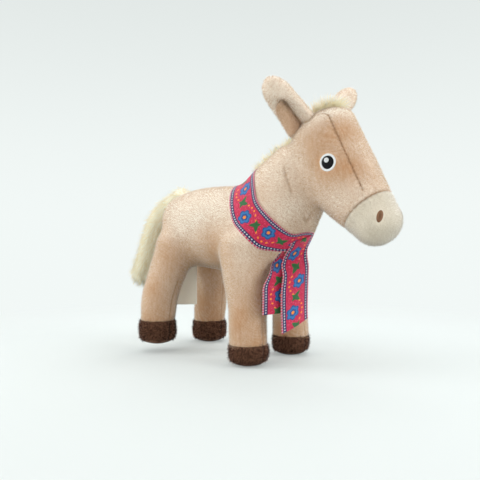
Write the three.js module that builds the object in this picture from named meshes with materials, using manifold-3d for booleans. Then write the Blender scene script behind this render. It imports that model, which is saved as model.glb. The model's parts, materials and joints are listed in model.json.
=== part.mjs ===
// A stuffed plush mule that stands on its legs, with a faux-fur mane and tail and a woven ribbon scarf.
// It is sewn from flat panels: every panel is a curved shell of pile fabric round a core of fibre filling.
// Millimetres and degrees. +X runs from the tail to the nose, +Y to the animal's left, +Z up from the floor.

import * as THREE from "three";
import { mergeVertices } from "three/addons/utils/BufferGeometryUtils.js";
import Module from "manifold-3d";

// Cloth
const plush = 1.8; // pile fabric, backing and pile together
const earCloth = 1.2; // thinner lining of the ears
const ribbon = 0.8; // woven ribbon
const labelTape = 0.5; // satin label
const seam = 0.3; // clearance between pieces that are sewn together or rest on each other

// Trunk
const backHeight = 136; // top of the back above the floor
const bellyHeight = 67.5; // belly above the floor
const rumpX = -58; // last full section
const loinX = -37;
const girthX = -5;
const shoulderX = 24;
const chestX = 40; // foremost full section
const rumpWidth = 58;
const rumpDepth = 55;
const rumpDrop = 5; // the rump's top lies this far below the back
const loinWidth = 66;
const loinDepth = 65.5;
const chestWidth = 56;
const chestDepth = 58;
const rumpDome = 13; // how far the rounded rear stands out behind the last section
const chestDome = 13;
const trunkFullness = 2.3; // 2 is an ellipse, more is squarer
const bellyPanelWidth = 30;

// Legs and hooves
const hoofRadius = 15;
const frontHoofHeight = 15.5;
const hindHoofHeight = 19;
const hoofRound = 5; // radius of the hoof's lower edge
const frontLegX = 30.5; // where the front hooves stand
const frontStance = 28; // half the distance between the front hooves
const frontLegRadius = 14.6;
const frontLegLean = 8; // how far the elbow lies behind the hoof
const frontInset = 7; // how far the top of a leg leans in towards the trunk
const frontHipX = 22.5;
const upperArmRadius = 21;
const upperArmTop = 108;
const hindLegX = -62;
const hindStance = 32.5;
const hindLegRadius = 13.7;
const hindLegLean = -12;
const hindInset = 11;
const hindHipX = -57;
const thighRadius = 19;
const thighTop = 108;
const hipHeight = 73; // the legs swing about points at this height
const rightHindLift = 7; // the right hind hoof hangs this far clear of the floor
const legSwing = 10; // how far a soft leg gives, each way

// Neck and head
const neckLean = 51; // above the horizontal
const neckX = 43; // middle of the neck at the scarf's upper edge
const neckDrop = 13; // below the top of the back
const neckDepth = 70; // fore and aft, at the scarf's upper edge
const neckWidth = 54;
const neckFlare = 8; // how much deeper and wider the neck's root is
const neckRoot = 34; // how far the root reaches into the trunk
const neckLength = 28; // from the scarf's upper edge to the nape
const napeDepth = 52;
const napeWidth = 46;
const napeDome = 14;
const headLean = 48.6; // below the horizontal
const headX = 83; // middle of the head, between brow and cheek
const headZ = 149.4;
const browDepth = 58;
const browWidth = 50;
const browBack = 14; // from the middle of the head back to the brow
const browRise = 4;
const cheekDepth = 48;
const cheekWidth = 45;
const cheekDrop = 25; // from the middle of the head on to the cheek
const muzzleDepth = 37;
const muzzleWidth = 38;
const muzzleSeam = 48; // from the middle of the head to the muzzle's seam
const muzzleReach = 60; // and to the foremost full section
const muzzleDome = 15;
const skullDome = 18;
const jawSag = 2; // how far cheek and muzzle lie below the brow's middle line
const browPanelWidth = 31;
const headTurn = -2; // the stuffed neck is twisted this far at rest, to the right
const headRoll = 7.5; // the face is turned this far to the right about the head's own length

// Ears
const earLength = 39;
const earWidth = 30; // measured round the curl
const earCurl = 70; // half angle of the curl
const earSplay = 41; // out from the middle of the head
const earRake = 32; // forward from the line of the head
const earTwist = 40; // the opening faces this far out from straight ahead
const earSet = -0.48; // where the ears are sewn, on the dome of the skull
const earAngle = 18;
const earFold = 25; // how far an ear folds, each way

// Embroidery
const eyeRadius = 5.6;
const pupilRadius = 4.3;
const glintRadius = 1.2;
const stitches = 0.9; // height of the embroidery above the pile
const eyeSet = 0.33; // along the head, from the brow to the tip of the muzzle
const eyeAngle = 17; // above the side of the head
const nostrilSet = 1.13;
const nostrilAngle = 42;
const nostrilLength = 8;
const nostrilWidth = 4;

// Faux fur
const maneWidth = 10;
const forelockLength = 16;
const forelockWidth = 12;
const tailRootX = -62;
const tailDrop = 5; // below the top of the back
const tailBendX = -90;
const tailBendZ = 109;
const tailTipX = -117;
const tailTipZ = 60;
const tailWidth = 24;
const tailDepth = 16;
const tailLift = 60; // how far the tail lifts from where it hangs

// Scarf and label
const scarfWidth = 25;
const scarfLean = 46; // the lower edge of the band lies square to this lean
const scarfBackEdgeX = 0; // where that edge crosses the back
const scarfFrontTop = 101; // heights of the two ends' tops, at the crossing
const scarfBackTop = 92;
const scarfFrontLength = 66; // free length of the end that hangs in front
const scarfBackLength = 49;
const scarfFrontSlant = 10; // how much longer the right edge is
const scarfBackSlant = 1;
const scarfFrontX = 70.9;
const scarfFrontY = -3;
const scarfBackX = 64.6;
const scarfBackY = -9;
const scarfGathered = 13; // width of an end where it is gathered at the top
const scarfFacing = -18; // the ends face this far to the right
const scarfSwing = 40;
const labelWidth = 21;
const labelLength = 45;
const labelSet = -0.317; // where it is sewn, under the dome of the rump
const labelFacing = 48; // the label's width runs this far from straight ahead
const labelSwing = 15;

// Facets
const bodySides = 20;
const legSides = 14;
const domeRings = 3;
const reach = 500; // larger than the whole toy

const wasm = await Module();
wasm.setup();

const forward = new THREE.Vector3(1, 0, 0);
const left = new THREE.Vector3(0, 1, 0);
const up = new THREE.Vector3(0, 0, 1);
const rad = THREE.MathUtils.degToRad;
const point = (x, y, z) => new THREE.Vector3(x, y, z);

const fawn = "#cfae90";
const cream = "#dccfb8";
const brown = "#4a2a1c";
const fur = "#e6d5a8";
const crimson = "#c8244e";
const white = "#e8e8e4";
const black = "#15171a";
const russet = "#8a5a3c";
const fibre = "#f2f0ea";
const cloth = (color) => new THREE.MeshStandardMaterial({ color, roughness: 0.95, metalness: 0 });

// Forms: stuffed shapes lofted through oval sections

const section = (centre, width, height) => ({ centre, width, height });

// A form has two directions, its sections and the length of its two domed ends.
function makeForm(along, across, sections, domes, sides, fullness = 2) {
  const centres = new THREE.CatmullRomCurve3(sections.map((s) => s.centre));
  const halves = new THREE.CatmullRomCurve3(sections.map((s) => point(s.width / 2, s.height / 2, 0)));
  const upward = along.clone().cross(across);
  const rings = 3 * (sections.length - 1);
  return { along, across, upward, centres, halves, domes, sides, fullness, rings };
}

// The oval of a form at q: 0 to 1 runs through its sections, and -1 to 0 and 1 to 2 through its domes.
function ovalAt(form, q, grow) {
  const inside = THREE.MathUtils.clamp(q, 0, 1);
  const turn = rad(90 * (q - inside));
  const dome = form.domes[q < 0 ? 0 : 1] + grow;
  const half = form.halves.getPoint(inside);
  const centre = form.centres.getPoint(inside).addScaledVector(form.along, dome * Math.sin(turn));
  return { centre, width: (half.x + grow) * Math.cos(turn), height: (half.y + grow) * Math.cos(turn) };
}

// A point on a form's surface. The angle runs from its across direction to its upward one.
function pointOn(form, q, degrees, grow = 0) {
  const oval = ovalAt(form, q, grow);
  const swell = (x) => Math.sign(x) * Math.abs(x) ** (2 / form.fullness);
  return oval.centre
    .addScaledVector(form.across, oval.width * swell(Math.cos(rad(degrees))))
    .addScaledVector(form.upward, oval.height * swell(Math.sin(rad(degrees))));
}

// The outward normal there.
function normalOn(form, q, degrees) {
  const round = pointOn(form, q, degrees + 1).sub(pointOn(form, q, degrees - 1));
  const on = pointOn(form, q + 0.01, degrees).sub(pointOn(form, q - 0.01, degrees));
  return round.cross(on).normalize();
}

function formSolid(form, grow = 0, sides = form.sides) {
  const stops = [];
  for (let k = 1; k < domeRings; k++) stops.push(-1 + k / domeRings);
  for (let k = 0; k <= form.rings; k++) stops.push(k / form.rings);
  for (let k = 1; k < domeRings; k++) stops.push(1 + k / domeRings);
  const points = [];
  for (const q of stops) {
    for (let j = 0; j < sides; j++) points.push(pointOn(form, q, (360 * j) / sides, grow));
  }
  const start = points.push(pointOn(form, -1, 0, grow)) - 1;
  const end = points.push(pointOn(form, 2, 0, grow)) - 1;
  const last = (stops.length - 1) * sides;
  const faces = [];
  for (let j = 0; j < sides; j++) {
    const next = (j + 1) % sides;
    faces.push(start, next, j, end, last + j, last + next);
    for (let row = 0; row < last; row += sides) {
      faces.push(row + j, row + next, row + sides + next, row + j, row + sides + next, row + sides + j);
    }
  }
  return toSolid(new THREE.BufferGeometry().setFromPoints(points).setIndex(faces));
}

// The core of filling, with a coarser outline than the skin round it.
const coreSolid = (form) => formSolid(form, -plush - seam, form.sides / 2);

// Solids: cutting and joining

function toSolid(geometry) {
  const bare = geometry.clone();
  bare.deleteAttribute("normal");
  bare.deleteAttribute("uv");
  const merged = mergeVertices(bare, 1e-4);
  const vertProperties = new Float32Array(merged.attributes.position.array);
  const triVerts = new Uint32Array(merged.index.array);
  return new wasm.Manifold(new wasm.Mesh({ numProp: 3, vertProperties, triVerts }));
}

// The mesh of a solid, without the slivers thinner than a hair that cuts leave.
function toGeometry(solid) {
  const { vertProperties, triVerts } = solid.getMesh();
  const mesh = new THREE.BufferGeometry()
    .setAttribute("position", new THREE.BufferAttribute(vertProperties, 3))
    .setIndex(new THREE.BufferAttribute(triVerts, 1));
  const merged = mergeVertices(mesh, 2e-3);
  const faces = new Map();
  for (let k = 0; k < merged.index.count; k += 3) {
    const face = [0, 1, 2].map((n) => merged.index.getX(k + n));
    if (new Set(face).size < 3) continue;
    const key = face.toSorted((a, b) => a - b).join();
    if (!faces.delete(key)) faces.set(key, face);
  }
  return merged.setIndex([...faces.values()].flat());
}

// Everything on the side of a plane that its normal points to.
function halfSpace(on, normal) {
  const box = new THREE.BoxGeometry(reach, reach, reach).translate(0, 0, reach / 2);
  box.applyQuaternion(new THREE.Quaternion().setFromUnitVectors(up, normal));
  return toSolid(box.translate(on.x, on.y, on.z));
}

const leftOf = (y) => halfSpace(point(0, y, 0), left);
const rightOf = (y) => halfSpace(point(0, y, 0), left.clone().negate());

// The slab between two planes square to an axis, at two distances from a point.
function slab(on, axis, from, to) {
  const low = halfSpace(on.clone().addScaledVector(axis, from), axis);
  return low.intersect(halfSpace(on.clone().addScaledVector(axis, to), axis.clone().negate()));
}

// A rod of oval section, half of it on either side of a point.
function rod(on, axis, long, radius, radiusAcross = radius) {
  const cylinder = new THREE.CylinderGeometry(1, 1, 1, 16).rotateX(Math.PI / 2);
  cylinder.scale(radius, radiusAcross, long);
  cylinder.applyQuaternion(new THREE.Quaternion().setFromUnitVectors(up, axis));
  return toSolid(cylinder.translate(on.x, on.y, on.z));
}

// The largest body of a solid that a cut has left in several.
function largest(solid) {
  return solid.decompose().reduce((a, b) => (a.volume() > b.volume() ? a : b));
}

// Cuts a piece so that it clears an obstacle at every angle of its hinge from least to most.
function clearWhileTurning(piece, obstacle, pivot, axis, least, most) {
  const steps = Math.ceil((most - least) / 10);
  let cut = piece;
  for (let k = 0; k <= steps; k++) {
    const angle = least + ((most - least) * k) / steps;
    const spin = new THREE.Matrix4().makeRotationAxis(axis, rad(-angle));
    const about = new THREE.Matrix4().makeTranslation(pivot);
    const back = new THREE.Matrix4().makeTranslation(pivot.clone().negate());
    cut = cut.subtract(obstacle.transform(about.multiply(spin).multiply(back).elements));
  }
  return largest(cut);
}

// A sheet of cloth over the surface at(u, v), from one offset along its normal to another.
function clothSheet(at, rows, columns, from, to) {
  const step = 1e-3;
  const points = [];
  for (const offset of [from, to]) {
    for (let i = 0; i <= rows; i++) {
      for (let j = 0; j <= columns; j++) {
        const [u, v] = [i / rows, j / columns];
        const along = at(Math.min(u + step, 1), v).sub(at(Math.max(u - step, 0), v));
        const across = at(u, Math.min(v + step, 1)).sub(at(u, Math.max(v - step, 0)));
        points.push(at(u, v).addScaledVector(across.cross(along).normalize(), offset));
      }
    }
  }
  const wide = columns + 1;
  const top = (rows + 1) * wide;
  const faces = [];
  const quad = (a, b, c, d) => faces.push(a, b, c, a, c, d);
  for (let i = 0; i < rows; i++) {
    for (let j = 0; j < columns; j++) {
      const a = i * wide + j;
      quad(top + a, top + a + 1, top + a + wide + 1, top + a + wide);
      quad(a, a + wide, a + wide + 1, a + 1);
    }
    const near = i * wide;
    const far = near + columns;
    quad(near, top + near, top + near + wide, near + wide);
    quad(far, far + wide, top + far + wide, top + far);
  }
  for (let j = 0; j < columns; j++) {
    const end = rows * wide + j;
    quad(j, j + 1, top + j + 1, top + j);
    quad(end, top + end, top + end + 1, end + 1);
  }
  return toSolid(new THREE.BufferGeometry().setFromPoints(points).setIndex(faces));
}

// The toy and its hinges

const toy = new THREE.Group();
const mule = new THREE.Group();
toy.add(mule);

function addPiece(parent, name, solid, color) {
  const mesh = new THREE.Mesh(toGeometry(solid), cloth(color));
  mesh.name = name;
  parent.add(mesh);
}

// A group of pieces that turn together about a hinge.
function hinge(parent, name, pivot, axis) {
  const group = new THREE.Group();
  group.name = name;
  group.userData = { pivot, axis };
  parent.add(group);
  return group;
}

// Trunk, with the root of the neck

const trunkMiddle = (backHeight + bellyHeight) / 2;
const trunkDepth = backHeight - bellyHeight;
const trunkSection = (x, width, height, drop = 0) =>
  section(point(x, 0, backHeight - drop - height / 2), width, height);
const trunkForm = makeForm(
  forward,
  left,
  [
    trunkSection(rumpX, rumpWidth, rumpDepth, rumpDrop),
    trunkSection(loinX, loinWidth, loinDepth),
    trunkSection(girthX, loinWidth, trunkDepth),
    trunkSection(shoulderX, loinWidth, trunkDepth),
    trunkSection(chestX, chestWidth, chestDepth),
  ],
  [rumpDome, chestDome],
  bodySides,
  trunkFullness,
);

const neckAxis = point(Math.cos(rad(neckLean)), 0, Math.sin(rad(neckLean)));
const neckBase = point(neckX, 0, backHeight - neckDrop);
const neckAt = (rise) => neckBase.clone().addScaledVector(neckAxis, rise);
const neckForm = makeForm(
  neckAxis,
  left,
  [
    section(neckAt(-neckRoot), neckWidth + neckFlare, neckDepth + neckFlare),
    section(neckBase, neckWidth, neckDepth),
    section(neckAt(neckLength), napeWidth, napeDepth),
  ],
  [neckFlare, napeDome],
  bodySides,
);
const belowNeckSeam = halfSpace(neckAt(-seam / 2), neckAxis.clone().negate());
const aboveNeckSeam = halfSpace(neckAt(seam / 2), neckAxis);

// The trunk joined to the neck's root, grown or shrunk, up to the seam that the head turns on.
function trunkSolid(grow, sides = bodySides) {
  const root = formSolid(neckForm, grow, sides);
  return formSolid(trunkForm, grow, sides).add(root).intersect(belowNeckSeam);
}

const trunkKeepOut = trunkSolid(seam);
const trunkCoarse = trunkSolid(plush, bodySides / 2);
const trunkSkin = trunkSolid(0).subtract(trunkSolid(-plush));
const belowMiddle = halfSpace(point(0, 0, trunkMiddle), up.clone().negate());
const bellyStrip = (half) => slab(point(0, 0, 0), left, -half, half).intersect(belowMiddle);
const flanks = trunkSkin.subtract(bellyStrip(bellyPanelWidth / 2));
addPiece(mule, "body_side_left", largest(flanks.intersect(leftOf(seam / 2))), fawn);
addPiece(mule, "body_side_right", largest(flanks.intersect(rightOf(-seam / 2))), fawn);
addPiece(mule, "belly_panel", largest(trunkSkin.intersect(bellyStrip(bellyPanelWidth / 2 - seam))), fawn);
addPiece(mule, "body_filling", trunkSolid(-plush - seam, bodySides / 2), fibre);

// Legs: an outer and an inner panel, a hoof band, a sole and a core of filling each

const frontLeg = {
  x: frontLegX,
  stance: frontStance,
  shin: 2 * frontLegRadius,
  thigh: 2 * upperArmRadius,
  lean: frontLegLean,
  inset: frontInset,
  hipX: frontHipX,
  top: upperArmTop,
  hoof: frontHoofHeight,
};
const hindLeg = {
  x: hindLegX,
  stance: hindStance,
  shin: 2 * hindLegRadius,
  thigh: 2 * thighRadius,
  lean: hindLegLean,
  inset: hindInset,
  hipX: hindHipX,
  top: thighTop,
  hoof: hindHoofHeight,
};

function legForm(leg, side, ankle) {
  const shoulder = leg.top - leg.thigh / 2;
  const at = (share, width) => {
    const y = side * (leg.stance - leg.inset * share ** 2);
    return section(point(leg.x - leg.lean * share, y, ankle + (shoulder - ankle) * share), width, width);
  };
  const sections = [at(0, leg.shin), at(0.4, leg.shin), at(1, leg.thigh)];
  return makeForm(up, forward, sections, [leg.shin / 2, leg.thigh / 2], legSides);
}

// A hoof turned from its profile, shrunk by an inset.
function hoofSolid(foot, height, inset) {
  const radius = hoofRadius - inset;
  const round = hoofRound - inset;
  const profile = new THREE.Path()
    .moveTo(0, inset)
    .lineTo(radius - round, inset)
    .absarc(radius - round, hoofRound, round, -Math.PI / 2, 0)
    .lineTo(radius, height)
    .lineTo(0, height);
  const lathe = new THREE.LatheGeometry(profile.getPoints(2), legSides).rotateX(Math.PI / 2);
  return toSolid(lathe.translate(foot.x, foot.y, foot.z));
}

function addLeg(name, leg, side, lift) {
  const ankle = leg.hoof + lift;
  const form = legForm(leg, side, ankle);
  const foot = point(leg.x, side * leg.stance, lift);
  const hip = point(leg.hipX, side * leg.stance, hipHeight);
  const group = hinge(mule, `leg_${name}`, hip, left);
  const clear = (solid, trunk) => clearWhileTurning(solid, trunk, hip, left, -legSwing, legSwing);

  const skin = formSolid(form).subtract(formSolid(form, -plush));
  const shin = skin.intersect(halfSpace(point(0, 0, ankle + seam), up));
  const halves = [shin.intersect(leftOf(foot.y + seam / 2)), shin.intersect(rightOf(foot.y - seam / 2))];
  addPiece(group, `leg_${name}_outer_panel`, clear(halves[side > 0 ? 0 : 1], trunkKeepOut), fawn);
  addPiece(group, `leg_${name}_inner_panel`, clear(halves[side > 0 ? 1 : 0], trunkKeepOut), fawn);

  const soleRadius = hoofRadius - hoofRound;
  const soleMiddle = foot.clone().addScaledVector(up, plush / 2);
  const band = hoofSolid(foot, leg.hoof, 0).subtract(hoofSolid(foot, leg.hoof, plush));
  addPiece(group, `hoof_${name}_band`, band.subtract(rod(foot, up, 3 * plush, soleRadius + seam)), brown);
  addPiece(group, `hoof_${name}_sole`, rod(soleMiddle, up, plush, soleRadius), brown);
  const core = coreSolid(form).intersect(halfSpace(point(0, 0, ankle - plush), up));
  const filling = core.add(hoofSolid(foot, leg.hoof, plush + seam));
  addPiece(group, `leg_${name}_filling`, clear(filling, trunkCoarse), fibre);
}

addLeg("front_left", frontLeg, 1, 0);
addLeg("front_right", frontLeg, -1, 0);
addLeg("hind_left", hindLeg, 1, 0);
addLeg("hind_right", hindLeg, -1, rightHindLift);

// Head, with the upper part of the neck

const headAxis = point(Math.cos(rad(headLean)), 0, -Math.sin(rad(headLean)));
const headLeft = left.clone().applyAxisAngle(headAxis, rad(headRoll));
const faceward = headAxis.clone().cross(headLeft);
const headAt = (down, rise) =>
  point(headX, 0, headZ).addScaledVector(headAxis, down).addScaledVector(faceward, rise);
const headForm = makeForm(
  headAxis,
  headLeft,
  [
    section(headAt(-browBack, browRise), browWidth, browDepth),
    section(headAt(cheekDrop, -jawSag), cheekWidth, cheekDepth),
    section(headAt(muzzleReach, -jawSag / 2), muzzleWidth, muzzleDepth),
  ],
  [skullDome, muzzleDome],
  bodySides,
);

const head = hinge(mule, "head", neckBase, neckAxis);
head.quaternion.setFromAxisAngle(neckAxis, rad(headTurn));
head.position.copy(neckBase).sub(neckBase.clone().applyQuaternion(head.quaternion));

function headSolid(grow, sides = bodySides) {
  const neck = formSolid(neckForm, grow, sides).intersect(aboveNeckSeam);
  return formSolid(headForm, grow, sides).add(neck);
}

const headKeepOut = headSolid(seam);
const headSkin = headSolid(0).subtract(headSolid(-plush));
const beyond = (down) => halfSpace(headAt(down, 0), headAxis);
const facing = halfSpace(headAt(0, 0), faceward);
const skull = headSkin.subtract(beyond(muzzleSeam));
const browStrip = (half) => slab(headAt(0, 0), headLeft, -half, half).intersect(facing);
const cheeks = skull.subtract(browStrip(browPanelWidth / 2));
addPiece(head, "head_side_left", largest(cheeks.intersect(leftOf(seam / 2))), fawn);
addPiece(head, "head_side_right", largest(cheeks.intersect(rightOf(-seam / 2))), fawn);
addPiece(head, "brow_panel", largest(skull.intersect(browStrip(browPanelWidth / 2 - seam))), fawn);
addPiece(head, "muzzle_cover", largest(headSkin.intersect(beyond(muzzleSeam + seam))), cream);
addPiece(head, "head_filling", headSolid(-plush - seam, bodySides / 2), fibre);

// Embroidery: patches of thread that follow the surface of the head

const threadLayer = formSolid(headForm, seam + stitches).subtract(formSolid(headForm, seam));

for (const [name, side] of [["left", 1], ["right", -1]]) {
  const degrees = side > 0 ? eyeAngle : 180 - eyeAngle;
  const middle = pointOn(headForm, eyeSet, degrees);
  const gaze = normalOn(headForm, eyeSet, degrees);
  const patch = (radius) => rod(middle, gaze, 6 * stitches, radius);
  const sparkle = middle.clone().addScaledVector(up, pupilRadius / 2);
  const glint = (radius) => rod(sparkle, gaze, 6 * stitches, radius);
  const ring = patch(eyeRadius).subtract(patch(pupilRadius + seam / 2));
  addPiece(head, `eye_${name}_white`, threadLayer.intersect(ring), white);
  const pupil = patch(pupilRadius).subtract(glint(glintRadius + seam / 2));
  addPiece(head, `eye_${name}_pupil`, threadLayer.intersect(pupil), black);
  addPiece(head, `eye_${name}_glint`, threadLayer.intersect(glint(glintRadius)), white);

  const nostrilDegrees = side > 0 ? nostrilAngle : 180 - nostrilAngle;
  const nose = pointOn(headForm, nostrilSet, nostrilDegrees);
  const flare = normalOn(headForm, nostrilSet, nostrilDegrees);
  const oval = rod(nose, flare, 8 * stitches, nostrilWidth / 2, nostrilLength / 2);
  addPiece(head, `nostril_${name}`, largest(threadLayer.intersect(oval)), russet);
}

// Ears: curled leaves of two cloths, sewn to the skull

for (const [name, side] of [["left", 1], ["right", -1]]) {
  const root = pointOn(headForm, earSet, side > 0 ? earAngle : 180 - earAngle);
  const lean = faceward.clone().multiplyScalar(Math.sin(rad(earRake)) * Math.cos(rad(earSplay)));
  lean.addScaledVector(headAxis, -Math.cos(rad(earRake)) * Math.cos(rad(earSplay)));
  lean.addScaledVector(headLeft, side * Math.sin(rad(earSplay)));
  const opening = point(Math.cos(rad(earTwist)), side * Math.sin(rad(earTwist)), 0);
  opening.addScaledVector(lean, -opening.dot(lean)).normalize();
  const sideways = lean.clone().cross(opening);
  const leaf = (margin) => (u, v) => {
    const rise = -0.2 + (1.185 - margin / earLength) * u;
    const half = (earWidth / 2 - margin) * Math.sqrt(1 - rise ** 2) * (0.72 + 0.6 * rise);
    const curl = rad(earCurl) * (2 * v - 1);
    return root
      .clone()
      .addScaledVector(lean, earLength * rise)
      .addScaledVector(sideways, (half / rad(earCurl)) * Math.sin(curl))
      .addScaledVector(opening, (half / rad(earCurl)) * (1 - Math.cos(curl)));
  };
  const group = hinge(head, `ear_${name}`, root, sideways);
  const clear = (solid) => clearWhileTurning(solid, headKeepOut, root, sideways, -earFold, earFold);
  addPiece(group, `ear_${name}_back`, clear(clothSheet(leaf(0), 9, 8, -plush, 0)), fawn);
  addPiece(group, `ear_${name}_lining`, clear(clothSheet(leaf(1.5), 9, 8, seam, seam + earCloth)), cream);
}

// Faux fur: a mane along the crest, a forelock between the ears and a tail

const crest = [0.6, 0.78, 1, 1.5].map((q) => pointOn(neckForm, q, 90));
const poll = [-0.92, -0.72].map((q) => pointOn(headForm, q, 90));
const maneForm = makeForm(
  neckAxis,
  left,
  [...crest, ...poll].map((centre) => section(centre, maneWidth, maneWidth)),
  [maneWidth / 2, maneWidth / 2],
  12,
);
addPiece(head, "mane", largest(formSolid(maneForm).subtract(headKeepOut)), fur);

const forelockForm = makeForm(
  headAxis,
  left,
  [pointOn(headForm, -0.45, 90), pointOn(headForm, -0.2, 90)].map((centre) =>
    section(centre, forelockWidth, forelockWidth * 0.8),
  ),
  [forelockWidth / 4, forelockLength / 3],
  12,
);
const maneKeepOut = headKeepOut.add(formSolid(maneForm, seam));
addPiece(head, "forelock", largest(formSolid(forelockForm).subtract(maneKeepOut)), fur);

const tailRoot = point(tailRootX, 0, backHeight - tailDrop);
const tailAxis = point(tailTipX, 0, tailTipZ).sub(tailRoot).normalize();
const tailForm = makeForm(
  tailAxis,
  left,
  [
    section(tailRoot, tailWidth / 2, tailDepth / 2),
    section(point(tailBendX, 0, tailBendZ), tailWidth, tailDepth),
    section(point(tailTipX, 0, tailTipZ), tailWidth * 0.8, tailDepth),
  ],
  [tailDepth / 4, tailDepth / 2],
  legSides,
);
const tail = hinge(mule, "tail", tailRoot, left);
const tailSolid = clearWhileTurning(formSolid(tailForm), trunkKeepOut, tailRoot, left, 0, tailLift);
addPiece(tail, "tail", tailSolid, fur);

// Scarf: a band round the root of the neck and two ends that hang from its crossing

const scarfLayer = trunkSolid(seam + ribbon).subtract(trunkKeepOut);
const scarfDrop = point(Math.cos(rad(scarfLean)), 0, Math.sin(rad(scarfLean)));
const aboveScarfEdge = halfSpace(point(scarfBackEdgeX, 0, backHeight), scarfDrop);
addPiece(mule, "scarf_band", largest(scarfLayer.intersect(aboveScarfEdge)), crimson);

const breadth = point(Math.sin(rad(scarfFacing)), -Math.cos(rad(scarfFacing)), 0);
const bandKeepOut = trunkSolid(seam + ribbon + seam);

// An end that hangs from its left corner, spreads as it falls and is cut to a slant.
function scarfEnd(corner, length, slant) {
  return (u, v) => {
    const spread = THREE.MathUtils.smoothstep(u, 0, 0.6);
    const width = THREE.MathUtils.lerp(scarfGathered, scarfWidth, spread);
    const drop = u * (length + slant * v);
    return corner.clone().addScaledVector(breadth, width * v).addScaledVector(up, -drop);
  };
}

const frontCorner = point(scarfFrontX, scarfFrontY, scarfFrontTop);
const backCorner = point(scarfBackX, scarfBackY, scarfBackTop);
const clearOfBand = (solid) =>
  clearWhileTurning(solid, bandKeepOut, frontCorner, breadth, 0, 2 * scarfSwing);
const backEnd = hinge(mule, "scarf_back_end", frontCorner, breadth);
const backSheet = clothSheet(scarfEnd(backCorner, scarfBackLength, scarfBackSlant), 8, 4, 0, ribbon);
addPiece(backEnd, "scarf_back_end", clearOfBand(backSheet), crimson);
const frontEnd = hinge(backEnd, "scarf_front_end", frontCorner, breadth);
const frontSheet = clothSheet(scarfEnd(frontCorner, scarfFrontLength, scarfFrontSlant), 8, 4, 0, ribbon);
addPiece(frontEnd, "scarf_front_end", clearOfBand(frontSheet), crimson);

// Care label, left bare

const labelTop = pointOn(trunkForm, labelSet, -90);
const labelAcross = point(Math.cos(rad(labelFacing)), Math.sin(rad(labelFacing)), 0);
const labelAt = (u, v) =>
  labelTop
    .clone()
    .addScaledVector(labelAcross, labelWidth * (v - 0.5))
    .addScaledVector(up, labelWidth / 2 - (labelWidth / 2 + labelLength) * u);
const label = hinge(mule, "care_label", labelTop, labelAcross);
const labelSheet = clothSheet(labelAt, 2, 1, -labelTape / 2, labelTape / 2);
const labelSolid = clearWhileTurning(labelSheet, trunkKeepOut, labelTop, labelAcross, -labelSwing, labelSwing);
addPiece(label, "care_label", labelSolid, white);

// The toy stands with the middle of its outline over the origin
mule.updateMatrixWorld(true);
const outline = new THREE.Box3().setFromObject(mule, true);
mule.position.set(-(outline.min.x + outline.max.x) / 2, -(outline.min.y + outline.max.y) / 2, -outline.min.z);

export default toy;
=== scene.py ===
"""The looks of a stuffed plush mule with a faux-fur mane and tail and a woven ribbon scarf.

Sizes are millimetres and degrees in the toy's own frame: +X from the tail to the nose, +Y to the animal's
left, +Z up from the floor. The meshes are metres in the frame that is shared with the solids.
"""

import json
import logging
import math
from dataclasses import dataclass, field, replace
from enum import Enum
from typing import Callable, Sequence

import bmesh
import bpy
import numpy as np
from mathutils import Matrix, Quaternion, Vector, noise
from mathutils.bvhtree import BVHTree


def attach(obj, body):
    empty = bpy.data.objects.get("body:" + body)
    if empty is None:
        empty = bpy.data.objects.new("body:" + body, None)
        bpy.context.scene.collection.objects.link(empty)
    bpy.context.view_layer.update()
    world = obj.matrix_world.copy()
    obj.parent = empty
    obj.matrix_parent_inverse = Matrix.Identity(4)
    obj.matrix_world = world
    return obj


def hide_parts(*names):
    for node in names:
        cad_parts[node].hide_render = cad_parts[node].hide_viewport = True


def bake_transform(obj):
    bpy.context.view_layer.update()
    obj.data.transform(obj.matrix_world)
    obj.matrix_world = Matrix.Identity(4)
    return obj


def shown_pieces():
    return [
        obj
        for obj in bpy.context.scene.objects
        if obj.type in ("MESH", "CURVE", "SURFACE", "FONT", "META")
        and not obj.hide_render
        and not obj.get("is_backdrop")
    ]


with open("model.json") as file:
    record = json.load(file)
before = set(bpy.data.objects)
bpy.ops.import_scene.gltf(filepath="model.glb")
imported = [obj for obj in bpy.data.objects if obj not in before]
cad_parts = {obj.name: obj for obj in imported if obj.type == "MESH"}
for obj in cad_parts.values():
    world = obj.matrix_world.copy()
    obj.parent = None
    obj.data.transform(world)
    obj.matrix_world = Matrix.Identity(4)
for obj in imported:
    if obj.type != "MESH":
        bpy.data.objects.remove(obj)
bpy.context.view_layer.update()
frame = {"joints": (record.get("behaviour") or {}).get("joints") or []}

log = logging.getLogger("plush_mule")

MM = 0.001
TINTS = 5
NECK_BASE = Vector((43.0, 0.0, 123.0))
HEAD_PIVOT = Vector(next(j["pos_m"] for j in frame["joints"] if j["name"] == "head_turn"))
ORIGIN = HEAD_PIVOT - NECK_BASE * MM
AHEAD = Vector((1.0, 0.0, 0.0))
LEFTWARD = Vector((0.0, 1.0, 0.0))
UPWARD = Vector((0.0, 0.0, 1.0))

Piece = bpy.types.Object
Material = bpy.types.Material
Socket = bpy.types.NodeSocket
Ring = list[Vector]
Colour = tuple[float, float, float]
Profile = tuple[tuple[float, float], ...]
Marks = tuple[tuple[float, float, float, float], ...]


def place(point: Vector) -> Vector:
    """A point of the toy's own frame, in millimetres, as metres in the shared frame."""
    return point * MM + ORIGIN


def leaning(degrees: float) -> Vector:
    """The direction ahead that rises so many degrees above the horizontal."""
    return Vector((math.cos(math.radians(degrees)), 0.0, math.sin(math.radians(degrees))))


def smoothstep(low: float, high: float, value: float) -> float:
    """0 below low, 1 above high and a smooth rise between them."""
    share = min(1.0, max(0.0, (value - low) / (high - low)))
    return share * share * (3.0 - 2.0 * share)


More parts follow.
